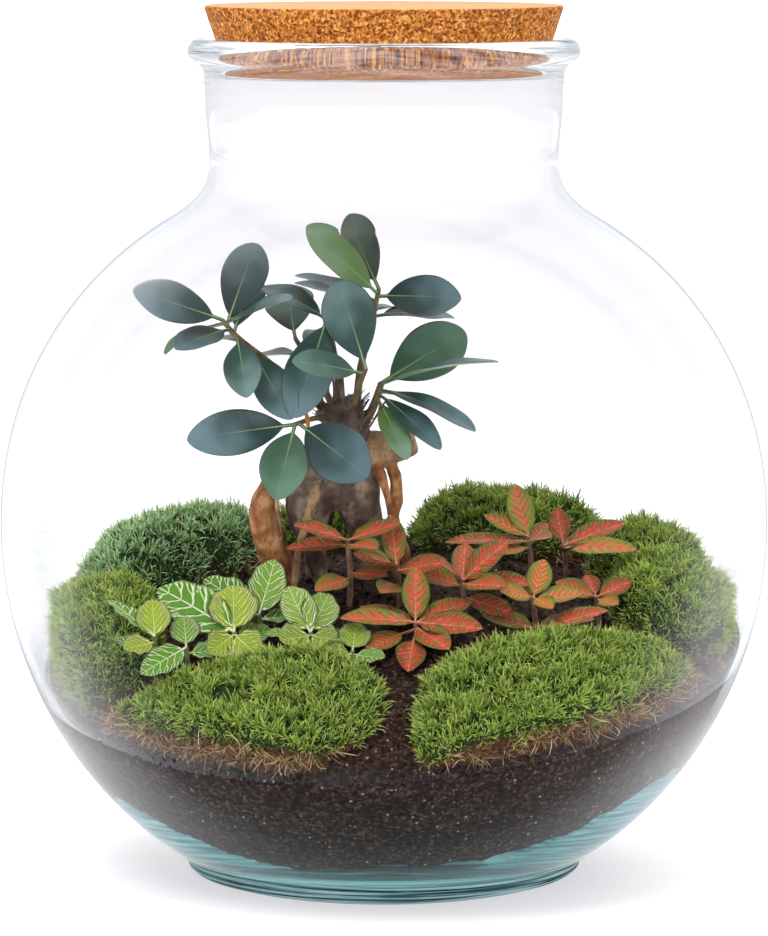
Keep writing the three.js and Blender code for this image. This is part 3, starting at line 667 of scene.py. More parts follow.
def jarInside(outside):
    # The upper half is the outside moved in by the wall's thickness; the cavity's own curve follows
    slope = unit(np.gradient(outside, axis=0))
    inward = np.stack([-slope[:, 1], slope[:, 0]], -1)
    thick = np.interp(outside[:, 1], wallThickness["heights"], wallThickness["values"])
    moved = outside + inward * thick[:, None]
    upper = moved[(outside[:, 1] > globe["middle"] + 1) & (outside[:, 1] < neck["top"] + 1)]
    fall = np.concatenate([np.linspace(globe["middle"], 60, 32), np.linspace(58, 16, 50)])
    corner = cavity["floor"] + cavity["corner"] * np.linspace(0.95, 0, 12) ** 2
    heights = np.concatenate([fall, corner])
    return upper[::-1], np.stack([wallRadius(heights), heights], -1)


def makeJar():
    turns = 160
    under = route([(0, foot["punt"]), (30, foot["punt"] - 0.1), (foot["inner"] - 9, foot["punt"] - 1),
                   (foot["inner"] - 3, 1.2), (foot["inner"], 0.15), (foot["inner"] + 2, 0),
                   (foot["outer"] - 1, 0), (foot["outer"] + 1.2, 0.3), (foot["outer"] + 3.3, 1.2)],
                  np.linspace(0, 1, 17))
    outside, bead = jarOutside()
    upper, lower = jarInside(outside)
    throat = [(neck["inner"] + neck["innerFlare"], lip["height"] - 2.5),
              (neck["inner"] + neck["innerFlare"] - 0.1, lip["height"] - lip["throat"])]
    floor = [(48, cavity["floor"]), (24, cavity["floor"]), (0, cavity["floor"])]
    outline = np.vstack([under, outside, bead, throat, upper, lower, floor])
    outline[[0, -1], 0] = 0
    rows, quads, tris = turned(outline, turns)
    number, height = np.arange(len(rows)), rows[:, 2]
    lowerStart = (len(outline) - 1 - len(floor) - len(lower)) * turns
    # the inner face of the thick base has long shallow streaks from gathering
    inside = (number >= lowerStart) & (height > cavity["floor"] + 0.5)
    angle = np.arctan2(rows[:, 0], -rows[:, 1])
    coil = streaks["coil"]
    path = np.stack([np.cos(angle) * coil, np.sin(angle) * coil, height * 0.9 + np.abs(angle) * coil], -1)
    streak = np.abs(softNoise(path, streaks["size"], 9)) * smoothStep(*streaks["heights"], height)
    streak = streak * inside * streaks["depth"]
    rows -= outwardOf(rows) * streak[:, None]
    # trait: the share of painted light streaks, whether at the lip, whether on the inner face; flow: where
    # in the painted streaks
    inner = number >= lowerStart - len(upper) * turns
    low = inner * smoothStep(*paintedVeil["baseTop"], height)
    low = low * smoothStep(cavity["floor"], paintedVeil["baseFull"], height)
    atLip = ~inner & (height > lip["height"] - lip["below"] + 1)
    ringed = ~inner & (np.hypot(rows[:, 0], rows[:, 1]) > foot["outer"] + 2)
    ringed = ringed * smoothStep(*paintedVeil["footFrom"], height) * smoothStep(*paintedVeil["footTo"], height)
    share = low * paintedVeil["base"] + atLip * paintedVeil["lip"] + ringed * paintedVeil["foot"]
    upright = np.stack([angle * 2.2, height * 0.75 + np.abs(angle) * 5, 0 * angle], -1)
    rings = np.stack([1.1 * np.cos(angle), height * 1.05, 7 + 1.1 * np.sin(angle)], -1)
    jar = addMesh("blown_glass_jar", rows, quads, tris, [sodaLimeGlass()],
                  {"trait": np.stack([share, atLip, inner], -1),
                   "flow": np.where((ringed > 0)[:, None], rings, upright)})
    standFor(jar, "glass", "glass_jar")


makeJar()
print("jar made")


# The cork: a tapered disc of pressed granules with sanded edges

cork = {"bottom": 320.4, "top": 340.5, "bottomRadius": 63.5, "topRadius": 69.5, "edge": 1.2, "pit": 0.35,
        "grain": 2.2, "pitFrom": (50, 60), "turns": 260}


def makeCork():
    # the outline is spun round, and its skin is pitted by noise of a grain's size
    wall = np.linspace(0, 1, 16)[:, None]
    low = np.array([cork["bottomRadius"], cork["bottom"] + cork["edge"]])
    high = np.array([cork["topRadius"], cork["top"] - cork["edge"]])
    lowFlat = [(r, cork["bottom"]) for r in (0, 20, 40, 55, cork["bottomRadius"] - cork["edge"])]
    topFlat = [(r, cork["top"]) for r in (cork["topRadius"] - cork["edge"], 62, 50, 36, 20, 0)]
    roundLow = [(cork["bottomRadius"] - 0.35, cork["bottom"] + 0.35)]
    roundTop = [(cork["topRadius"] - 0.35, cork["top"] - 0.35)]
    outline = np.vstack([lowFlat, roundLow, low + (high - low) * wall, roundTop, topFlat])
    rows, quads, tris = turned(outline, cork["turns"])
    rim = smoothStep(*cork["pitFrom"], np.linalg.norm(rows[:, :2], axis=1))[:, None]
    pits = np.minimum(softNoise(rows, cork["grain"], 3), 0.2)[:, None] * cork["pit"]
    rows = rows + outwardOf(rows) * rim * pits
    piece = addMesh("pressed_cork_disc", rows, quads, tris, [pressedCork()])
    standFor(piece, "cork", "cork_stopper")


makeCork()
print("cork made")


# The soil: a bank that meets the glass low in front and high behind and rises to a crown

soil = {"crown": 118, "front": 58, "rise": 54, "side": 8, "power": 1.4, "lump": 1.2, "clear": 0.45,
        "standOff": 0.3, "overlap": 0.25, "dryAzimuth": [0, 25, 41, 52, 60, 68, 80, 100, 180],
        "dryTop": [22.5, 22.5, 28, 35, 42, 46, 38, 30, 27], "dryTilt": 0.05, "dryWander": 1.8,
        "crumbs": 3200, "crumbSpread": 128, "crumbSides": 5,
        "crumbLevels": [[0.75, -0.5], [1.0, 0.1], [0.6, 0.7]],
        "crumbSize": (0.35, 1.5)}


def bankHeight(x, y):
    # Where the soil meets the glass in that direction: a tilted circle, low in front, high behind
    r = np.maximum(np.hypot(x, y), 1e-6)
    return soil["front"] + soil["rise"] * (1 + y / r) / 2 + soil["side"] * x / r


def soilHeight(x, y):
    # From the crown to the edge as the power of the share of the way out, with low sine lumps
    edge = bankHeight(x, y)
    out = np.minimum(1, np.hypot(x, y) / wallRadius(edge))
    lumps = soil["lump"] * np.sin(x / 13 + 1) * np.sin(y / 15) * (1 - out)
    return soil["crown"] + (edge - soil["crown"]) * out ** soil["power"] + lumps


def makeSoil(material):
    turns, wallRings, topRings = 240, 46, 70
    turn = evenTurn(turns)
    sx, sy = np.sin(turn), -np.cos(turn)
    edge = bankHeight(sx, sy)
    floor = cavity["floor"] + soil["clear"]
    up = np.linspace(0, 1, wallRings)[:, None]
    wallHeight = floor + (edge - floor) * up ** 1.5
    wallReach = wallRadius(wallHeight) - soil["clear"]
    shrink = 1 - np.linspace(0, 1, topRings + 1)[1:-1, None]
    topReach = (wallRadius(edge) - soil["clear"]) * shrink
    topHeight = soilHeight(topReach * sx, topReach * sy)
    reach = np.vstack([wallReach, topReach])
    height = np.vstack([wallHeight, topHeight])
    rings = np.stack([reach * sx, reach * sy, height], -1)
    ends = np.array([[0, 0, floor], [0, 0, soil["crown"]]])
    rows, quads, tris = skin(rings[None], ends[None])
    onTop = np.zeros(len(rows))
    onTop[wallRings * turns:-2] = 1
    rough = softNoise(rows, 5, 5) * 1.2 + softNoise(rows, 2.2, 6) * 0.9
    rows[:, 2] += rough * onTop
    # moist soil clings to the glass (its skin lies a hair inside the glass, so nothing mirrors it),
    # but low at the sides it has dried and stands off
    azimuth = np.abs(np.degrees(np.arctan2(rows[:, 0], -rows[:, 1])))
    dryTop = np.interp(azimuth, soil["dryAzimuth"], soil["dryTop"]) + rows[:, 0] * soil["dryTilt"]
    cling = smoothStep(-0.4, 0.4, rows[:, 2] - dryTop + soil["dryWander"] * softNoise(rows, 6, 8))
    stand = soil["standOff"] + 0.3 * softNoise(rows, 3, 7)
    outward = outwardOf(rows) * (1 - onTop)[:, None]
    rows += outward * ((soil["clear"] + soil["overlap"]) * cling - stand * (1 - cling))[:, None]
    bed = addMesh("potting_soil", rows, quads, tris, [material])
    standFor(bed, "soil", "soil_bed")


def makeCrumbs(material):
    # Loose crumbs: lumpy five-sided grains of three levels, strewn over the top
    chance = np.random.default_rng(11)
    r = np.sqrt(chance.random(soil["crumbs"])) * soil["crumbSpread"]
    angle = chance.random(soil["crumbs"]) * 2 * math.pi
    x, y = r * np.sin(angle), -r * np.cos(angle)
    size = between(soil["crumbSize"], chance.random(len(x)) ** 3)
    around, levels = evenTurn(soil["crumbSides"]), np.array(soil["crumbLevels"])
    ring = np.stack([levels[:, :1] * np.cos(around), levels[:, :1] * np.sin(around),
                     levels[:, 1:] + 0 * around], -1)
    rings = ring[None] * (1 + 0.5 * (chance.random((len(x), len(levels), len(around), 1)) - 0.5))
    centre = np.stack([x, y, soilHeight(x, y) + size * 0.3], -1)
    rings = rings * size[:, None, None, None] + centre[:, None, None]
    ends = centre[:, None] + np.array([[0, 0, -0.8], [0, 0, 0.9]]) * size[:, None, None]
    rows, quads, tris = skin(rings, ends)
    crumbs = addMesh("soil_crumbs", rows, quads, tris, [material])
    standFor(crumbs, "soil")


peat = pottingSoil()
makeSoil(peat)
makeCrumbs(peat)
print("soil made")


# Leaves: a stalk and a blade in one skin. The blade follows an arc that droops; its half width is
# sin(pi s^peak)^fullness of the way along, its edges stand up in a V and ripple, and its face turns
# from up (0) to the front (1).

leafKinds = {
    "fig": {"stalk": 4.5, "stalkRadius": 0.75, "thick": 0.28, "fold": 0.16, "peak": 1.14, "fullness": 0.6,
            "ripple": 0.06, "waves": 1.6, "cup": 0.05, "rib": 0.35, "usual": 34, "rows": 22, "columns": 10},
    "red": {"stalk": 2, "stalkRadius": 0.6, "thick": 0.22, "fold": 0.2, "peak": 0.9, "fullness": 0.66,
            "ripple": 0.04, "waves": 1.7, "cup": 0.08, "rib": 0.2, "usual": 30, "rows": 18, "columns": 8},
    "white": {"stalk": 2, "stalkRadius": 0.6, "thick": 0.22, "fold": 0.14, "peak": 0.86, "fullness": 0.62,
              "ripple": 0.15, "waves": 3.1, "cup": 0.14, "rib": 0.2, "usual": 30, "rows": 18, "columns": 8},
}


# what all kinds share: powers and shares by which stalk, edge, wave and midrib fade along a blade
bladeShape = {"drift": 0.06, "leastHalf": 0.05, "stalkFade": 10, "thickFade": 12, "tipThin": 0.4,
              "foldPower": 1.2, "waveLag": 1.3, "wavePower": 2.5, "ribWidth": 0.1}


def leaves(kind, stem, table, seed):
    # table rows: place on the stem, azimuth, elevation, length with stalk, width, droop, face,
    # extra stalk, youth. Returns the skins and their attributes.
    k = leafKinds[kind]
    chance = np.random.default_rng(seed)
    table = np.array([row + [0] * (9 - len(row)) for row in table], float)
    azimuth, elevation, length, width, droop, face, longStalk, youth = table.T[1:, :, None]
    azimuth, elevation, bow = np.radians(azimuth), np.radians(elevation), np.radians(droop)
    base = route(stem, table[:, 0])[:, None]
    along = np.stack([np.cos(elevation) * np.cos(azimuth), np.cos(elevation) * np.sin(azimuth),
                      np.sin(elevation)], -1)
    looks = np.stack([0 * face, -face, 1 - face], -1)
    across = unit(np.cross(looks, along))
    up = np.cross(along, across)
    stalk = k["stalk"] + longStalk
    blade = length - stalk
    down = np.array([-1, -0.66, -0.33])[None] * stalk
    s = np.concatenate([[0, 0.012, 0.03], np.linspace(0.06, 0.94, k["rows"] - 6), [0.97, 0.99, 1.0]])[None]
    arc = bow * s
    forward = np.concatenate([down, blade * np.sin(arc) / bow], 1)[..., None]
    sag = np.concatenate([0 * down, blade * (1 - np.cos(arc)) / bow], 1)[..., None]
    lean = np.concatenate([0 * down, arc], 1)[..., None]
    centre = base + along * stalk[..., None] + along * forward - up * sag
    normal = up * np.cos(lean) + along * np.sin(lean)
    drift = (chance.random((len(table), 1, 1)) - 0.5) * bladeShape["drift"] * blade[..., None]
    share = np.concatenate([0 * down, s + 0 * blade], 1)[..., None]
    centre = centre + across * drift * share ** 2
    bladeHalf = width / 2 * np.sin(math.pi * np.clip(s, 0, 1) ** k["peak"]).clip(0, 1) ** k["fullness"]
    bladeHalf = np.hypot(bladeHalf, k["stalkRadius"] * (1 - s) ** bladeShape["stalkFade"])
    bladeHalf = np.maximum(bladeHalf, bladeShape["leastHalf"])
    half = np.concatenate([0 * down + k["stalkRadius"], bladeHalf], 1)[..., None]
    deepBlade = k["thick"] + (k["stalkRadius"] - k["thick"]) * (1 - s) ** bladeShape["thickFade"] + 0 * blade
    deepBlade = deepBlade * (1 - bladeShape["tipThin"] * s)
    deep = np.concatenate([0 * down + k["stalkRadius"], deepBlade], 1)[..., None]
    sides = 2 * k["columns"]
    turn = evenTurn(sides)
    u = (np.cos(turn) + np.cos(turn) ** 3) / 2
    v = np.sin(turn)
    phase = chance.random((len(table), 1, 1)) * 2 * math.pi
    flat = smoothStep(0.0, 0.08, share)
    swing = share * k["waves"] * 2 * math.pi + phase + np.sign(u) * bladeShape["waveLag"]
    wave = np.sin(swing) * np.abs(u) ** bladeShape["wavePower"]
    valley = k["fold"] * np.abs(u) ** bladeShape["foldPower"] + k["ripple"] * wave
    shape = half * valley - half * k["cup"] * (1 - np.abs(u) ** 2)
    ribBulge = k["rib"] * np.exp(-(u / bladeShape["ribWidth"]) ** 2) * (v < 0) * (1 - share)
    lift = (shape + 0 * u) * flat + deep * v - ribBulge * flat
    points = centre[:, :, None] + across[:, :, None] * (half * u)[..., None]
    points = points + normal[:, :, None] * lift[..., None]
    ends = np.stack([base[:, 0] - along[:, 0] * 0.4, centre[:, -1]], 1)
    alongPlace = np.concatenate([down, s * blade], 1)[..., None] + 0 * u
    usual = k["usual"] / blade[..., None]
    place = np.stack([half * u * usual, alongPlace * usual, v + 0 * half * u], -1)
    luck = chance.random((len(table), 1, 1)) + 0 * alongPlace
    age = youth[..., None] + 0 * alongPlace
    trait = np.stack([np.abs(u) + 0 * luck, luck, age], -1)
    values = np.concatenate([points, place, trait], -1)
    endValues = np.concatenate([ends, place[:, [0, -1], 0], trait[:, [0, -1], 0]], -1)
    return skin(values, endValues)


def makeSprig(name, node, slotName, kind, path, radii, table, seed, materials):
    # One piece from leaves and their stem, which takes the second material. A stem's rows hold no
    # place and no trait.
    blades = leaves(kind, path, table, seed)
    stemRows, stemQuads, stemTris = tube(path, radii, sides=10, count=24)
    stem = (np.hstack([stemRows, 0 * stemRows, 0 * stemRows]), stemQuads, stemTris)
    rows, quads, tris = joined([blades, stem])
    slots = np.ones(len(quads) + len(tris), int)
    slots[:len(blades[1])] = 0
    slots[len(quads):len(quads) + len(blades[2])] = 0
    piece = addMesh(name, rows[:, :3], quads, tris, materials,
                    {"place": rows[:, 3:6], "trait": rows[:, 6:9]}, slots)
    standFor(piece, slotName, node)


# The fig's sprays: a stem from the graft with its leaves

figSprays = {
    "left": {
        "path": [[-20, -1, 181], [-33, -2, 191], [-46, -4, 202], [-57, -5, 211], [-63, -5, 218]],
        "radii": [1.7, 1.6, 1.4, 1.2, 0.9],
        "leaves": [
            [1, -150, 20, 39, 16, 16, 0.75], [0.92, 54, 60, 39, 18, 20, 0.8], [0.8, 75, 42, 36, 15, 20, 0.6],
            [0.95, -43, 23, 37, 14, 12, 0.35], [0.95, 146, -12, 33, 13, 30, 0.05],
            [0.86, -125, -3, 32, 14, 20, 0.45], [0.76, -80, -32, 33, 15, 20, 0.65],
            [0.62, -50, -46, 34, 16, 18, 0.7], [0.7, 125, 5, 34, 15, 25, 0.1]],
    },
    "low_left": {
        "path": [[-17, -3, 179], [-26, -10, 180], [-35, -16, 178]],
        "radii": [1.3, 1.1, 0.9],
        "leaves": [
            [1, -158, -4, 43, 18, 14, 0.85], [0.9, -38, -28, 37, 23, 16, 0.85],
            [0.97, -105, -42, 36, 19, 14, 0.8]],
    },
    "back_left": {
        "path": [[-19, 4, 181], [-27, 10, 196], [-35, 15, 209]],
        "radii": [1.5, 1.2, 0.9],
        "leaves": [
            [1, 100, 40, 33, 20, 14, 0.9], [0.85, 62, 16, 35, 16, 26, 0.15],
            [0.75, 150, 2, 35, 16, 26, 0.1]],
    },
    "middle": {
        "path": [[-13, -4, 180], [-10, -11, 192], [-7, -18, 200]],
        "radii": [1.4, 1.2, 0.9],
        "leaves": [[1, 128, 63, 39, 21, 12, 0.9], [0.85, -145, 16, 32, 13, 18, 0.6]],
    },
    "hanging": {
        "path": [[-17, 0, 182], [-19, -2, 202], [-22, -4, 219]],
        "radii": [1.4, 1.2, 0.9],
        "leaves": [[1, -123, -58, 43, 19, 14, 0.75], [0.95, 150, 30, 34, 14, 22, 0.3]],
    },
    "top": {
        "path": [[-11, 3, 181], [-9, 4, 199], [-5, 7, 215], [-2, 9, 229]],
        "radii": [1.7, 1.5, 1.2, 0.9],
        "leaves": [
            [0.95, -148, 42, 40, 16, 16, 0.55, 0, 0.4], [1, 125, 50, 36, 15, 16, 0.8],
            [0.93, -32, 4, 36, 17, 20, 0.75],
            [0.88, 160, 22, 36, 13, 16, 0.15], [0.82, -163, 24, 34, 12, 16, 0.2],
            [0.8, 66, 4, 33, 14, 24, 0.1],
            [0.74, 26, 6, 38, 15, 24, 0.3], [0.72, 112, 2, 36, 16, 28, 0.1]],
    },
    "right": {
        "path": [[-9, 0, 174], [-4, -2, 184], [-1, -2, 193]],
        "radii": [1.9, 1.7, 1.3],
        "leaves": [
            [1, 22, 29, 42, 22, 14, 0.8], [0.97, -20, 22, 50, 15, 22, 0.05],
            [0.85, -32, -8, 46, 13, 22, 0.2],
            [0.76, -45, -24, 38, 12, 18, 0.3], [0.68, -66, -34, 34, 11, 16, 0.35, 0, 0.3],
            [0.8, 52, -6, 34, 13, 24, 0.1]],
    },
}


def makeSprays():
    # the young woody stems are olive-brown, smooth and a little glossy
    materials = [figLeafSkin(), stemRind("greenStem", 5, "#5a4a34", "#7d7448", 0.55, 0.4)]
    for number, (name, spray) in enumerate(figSprays.items()):
        makeSprig("fig_leaves_" + name, "fig_spray_" + name, "fig_leaf", "fig",
                  spray["path"], spray["radii"], spray["leaves"], 20 + number, materials)


makeSprays()
print("fig sprays made")


# The fig's foot: swollen roots fused with the stump and the graft, by remeshing their tubes

figTrunk = [
    ([[-13, 1, 174], [-19, -2, 164], [-28, -5, 151], [-30, -5, 139], [-27, -3, 127], [-24, -2, 111]],
     [7, 9.5, 9.5, 8, 4.5, 3]),
    ([[-13, 1, 174], [-13, 1, 163], [-11, 1, 150], [-9, 2, 139], [-8, 3, 127], [-7, 3, 111]],
     [7, 9.5, 9, 7.5, 4.5, 3]),
    ([[-14, 1, 172], [-19, 0, 160], [-20, 0, 150], [-20, 1, 144]], [7, 12, 11.5, 6]),
    ([[-24, -2, 166], [-37, -5, 161], [-45, -5, 151], [-47, -5, 140], [-44, -4, 129], [-40, -3, 119],
      [-39, -2, 110]], [4, 4.5, 5, 6.2, 6.4, 5.2, 4]),
    ([[-19, 3, 166], [-23, 10, 152], [-26, 13, 137], [-27, 14, 124], [-28, 15, 111]], [6, 6.5, 6, 4.5, 3.5]),
    ([[-10, 5, 164], [-6, 11, 150], [-4, 14, 135], [-3, 15, 111]], [4, 4, 3.4, 2.6]),
    ([[-4, -2, 166], [0, -5, 153], [2.5, -5.5, 141], [4, -5, 128], [5, -4, 110]], [2.4, 1.9, 1.8, 1.6, 1.6]),
    ([[0, 0, 165], [4.5, -0.5, 156], [5, -0.5, 147], [4, 0.5, 139], [8, 2, 127], [9, 3, 110]],
     [2, 2.3, 2.5, 2, 1.7, 1.7]),
    ([[-24, -11, 160], [-28, -14.5, 147], [-31, -14.5, 136], [-34, -13.5, 125], [-35, -13, 109]],
     [1.8, 1.7, 1.6, 1.5, 1.4]),
    ([[-42, -8.5, 157], [-41.5, -12, 145], [-40, -11.5, 135], [-41, -8, 127]], [1.1, 1.1, 1.1, 1.1]),
    ([[-13, 2, 161], [-3, 1, 166], [12, -1, 170]], [8, 7.5, 6]),
    ([[-12, 0, 168], [-14, 0, 176], [-18, -0.5, 185]], [7, 7.5, 9.5]),
]
# bark of each of these: 0 grey trunk, 1 orange root, 2 pale root or cut, 3 graft
barkKinds = [0, 0, 0, 1, 0, 0, 1, 1, 2, 2, 2, 3]
trunkShape = {"voxel": 0.6, "cutTurn": 28, "cutMiddle": (11, -17, 172), "cutDepth": 15, "cutLow": 152,
              "cutLeft": -12, "lump": 0.9, "wrinkle": 0.45}


def makeTrunk(bark):
    tubes = [tube(path, radii, sides=24, count=40, roundEnds=0.2) for path, radii in figTrunk]
    rows, quads, tris = joined(tubes)
    # the old cut: what lies in front of its plane near the stump's end is pushed back onto it
    turn = math.radians(trunkShape["cutTurn"])
    facing = np.array([-math.sin(turn), math.cos(turn), 0])
    away = (rows - trunkShape["cutMiddle"]) @ facing
    aboveIt = (rows[:, 2] > trunkShape["cutLow"]) & (rows[:, 0] > trunkShape["cutLeft"])
    near = aboveIt & (away < trunkShape["cutDepth"])
    rows[near] += (trunkShape["cutDepth"] - away[near])[:, None] * facing
    rough = addMesh("rough_roots", rows, quads, tris, [])
    fuse = rough.modifiers.new("fuse", "REMESH")
    fuse.mode = "VOXEL"
    fuse.voxel_size = trunkShape["voxel"] * millimetre
    soften = rough.modifiers.new("soften", "SMOOTH")
    soften.iterations = 4
    mesh = bpy.data.meshes.new_from_object(rough.evaluated_get(bpy.context.evaluated_depsgraph_get()))
    bpy.data.objects.remove(rough)
    count = len(mesh.vertices)
    points = np.empty(count * 3)
    mesh.vertices.foreach_get("co", points)
    normals = np.empty(count * 3)
    mesh.vertices.foreach_get("normal", normals)
    points = points.reshape(-1, 3) / millimetre
    normals = normals.reshape(-1, 3)
    away = (points - trunkShape["cutMiddle"]) @ facing - trunkShape["cutDepth"]
    onCut = (points[:, 2] > trunkShape["cutLow"] + 3) & (points[:, 0] > trunkShape["cutLeft"] + 2)
    onCut = onCut & (away < 1.2)
    lumps = softNoise(points * [1, 1, 0.5], 6, 31) * trunkShape["lump"]
    wrinkles = softNoise(points * [1, 1, 0.3], 1.5, 32) * trunkShape["wrinkle"]
    grown = points + normals * ((lumps + wrinkles) * np.where(onCut, 0.15, 1.0))[:, None]
    mesh.vertices.foreach_set("co", (grown * millimetre).ravel())
    # the bark at a point is that of the tube whose skin is nearest, blurred by noise
    gaps = []
    for path, radii in figTrunk:
        times = np.linspace(0, 1, 24)
        size = route([[r] for r in radii], times)[:, 0]
        reach = np.linalg.norm(points[:, None] - route(path, times), axis=-1) - size
        gaps.append(reach.min(1) + 0.5 * softNoise(points, 2.5, 33 + len(gaps)))
    nearest = np.array(barkKinds)[np.argmin(gaps, 0)]
    layer = mesh.attributes.new("trait", "FLOAT_VECTOR", "POINT")
    layer.data.foreach_set("vector", (nearest[:, None] == [1, 2, 3]).astype(np.float32).ravel())
    mesh.materials.clear()
    mesh.materials.append(bark)
    mesh.shade_smooth()
    trunk = bpy.data.objects.new("fused_fig_roots", mesh)
    bpy.context.collection.objects.link(trunk)
    standFor(trunk, "bark", "fig_trunk")


twigs = {
    "thin": [[(-21.5, -5, 181), (-21.7, -8, 190), (-21.3, -10, 201)], [(-18, -5, 181), (-18.9, -8, 190),
             (-18, -10, 201)], [(-20, -5, 183), (-19.5, -8, 192), (-21, -9, 200)],
             [(-11, -6, 174), (-7.5, -8, 179), (-3.5, -9, 184), (-1.5, -7, 188)],
             [(-9.5, -5, 171.5), (-5.5, -8, 176.5), (-2.5, -9, 181.5), (0.5, -6, 186)],
             [(-13, -5, 175), (-9.5, -7, 181), (-6, -7, 187)]],
    "stout": [[(-15.5, -4, 181), (-16.2, -8, 190), (-17, -10, 202)]],
    "thinRadius": 0.42, "stoutRadius": 1.0, "stubs": 90, "stubLength": (2, 6), "stubRadius": 0.35,
    "stubFoot": (-14, 0, 174), "stubRise": (-4, 0, 11), "stubReach": (6, 2.2),
    "sheath": [(-30.2, -12.5, 182), (-29.6, -14.5, 179), (-29.2, -15.2, 175.5)],
    "sheathRadii": [0.7, 1.0, 0.25]}


def orangeSheath():
    # The dried sheath of a fig bud: orange, papery, a little glossy
    return surfaced(newMaterial("orangeSheath"), "#c98a35", 0.5, 0.4)


def makeTwigs(bark):
    # Thin stems that leave the graft, short dead rootlets that bristle round it, and one bud sheath
    thin, stout, stub = twigs["thinRadius"], twigs["stoutRadius"], twigs["stubRadius"]
    parts = [tube(path, [thin * 1.2, thin], sides=6, count=14) for path in twigs["thin"]]
    parts += [tube(path, [stout, stout], sides=8, count=14) for path in twigs["stout"]]
    chance = np.random.default_rng(15)
    for _ in range(twigs["stubs"]):
        turn, height = chance.random() * 2 * math.pi, chance.random()
        outward = np.array([math.cos(turn), math.sin(turn), 0.2 + 1.1 * height])
        reach = twigs["stubReach"][0] + twigs["stubReach"][1] * height
        base = twigs["stubFoot"] + height * np.array(twigs["stubRise"]) + outward * [1, 1, 0] * reach
        size = between(twigs["stubLength"], chance.random())
        side = (chance.random(3) - 0.5) * 2.4
        path = [base, base + outward * size * 0.5 + side, base + outward * size + side * 0.4]
        parts.append(tube(path, [stub, stub * 0.5], sides=5, count=6))
    sheath = tube(twigs["sheath"], twigs["sheathRadii"], sides=8, count=12)
    rows, quads, tris = joined(parts + [sheath])
    slots = np.zeros(len(quads) + len(tris), int)
    slots[len(quads) - len(sheath[1]):len(quads)] = 1
    slots[len(slots) - len(sheath[2]):] = 1
    piece = addMesh("graft_twigs", rows, quads, tris, [bark, orangeSheath()],
                    {"trait": np.tile([0.0, 0.0, 1.0], (len(rows), 1))}, slots)
    standFor(piece, "bark")


bark = figBark()
makeTrunk(bark)
makeTwigs(bark)
print("fig trunk made")


# Nerve plants: each shoot is a short stem in the soil with its leaves in pairs

whiteShoots = {
    "a": {"at": [-87, -60], "tip": 102, "leaves": [
        [1, 141, 34, 27, 9, 16, 0.1], [0.97, 100, 62, 17, 14, 12, 0.9, 0, 1],
        [0.93, -135, 4, 15, 11, 16, 0.5, 0, 1],
        [0.85, 170, 18, 17, 9, 16, 0.3]]},
    "b": {"at": [-75, -61], "tip": 98, "leaves": [
        [1, -140, -16, 22, 12, 14, 0.6], [1, 98, 50, 15, 12, 14, 0.75], [0.9, 0, 14, 15, 10, 16, 0.4]]},
    "c": {"at": [-57, -55], "tip": 103, "leaves": [
        [1, 146, 26, 42, 19, 20, 0.65], [1, 95, 52, 22, 20, 12, 0.9, 0, 1],
        [0.96, -62, -14, 18, 14, 18, 0.75, 0, 1],
        [0.96, -122, -14, 16, 13, 18, 0.75, 0, 1], [0.9, 30, 12, 17, 12, 16, 0.4]]},
    "d": {"at": [-48, -44], "tip": 108, "leaves": [
        [1, 62, 58, 25, 15, 20, 0.65], [0.97, 155, 34, 29, 15, 24, 0.5], [0.9, 15, 10, 20, 11, 16, 0.3]]},
    "e": {"at": [-28, -56], "tip": 103, "leaves": [
        [1, 130, 50, 23, 14, 18, 0.7], [1, 62, 44, 21, 15, 14, 0.8],
        [0.92, -128, 6, 17, 13, 16, 0.6, 0, 0.6],
        [0.92, -58, 8, 15, 12, 16, 0.55, 0, 0.6], [0.88, 175, 10, 18, 9, 16, 0.3],
        [0.8, 8, 6, 18, 10, 16, 0.4]]},
    "f": {"at": [-12, -66], "tip": 97, "leaves": [
        [1, 80, 50, 14, 13, 12, 0.85, 0, 0.8], [0.94, -135, 2, 13, 11, 12, 0.7, 0, 0.6],
        [0.9, -40, 6, 15, 9, 12, 0.45], [0.85, 170, 14, 13, 9, 12, 0.4]]},
}
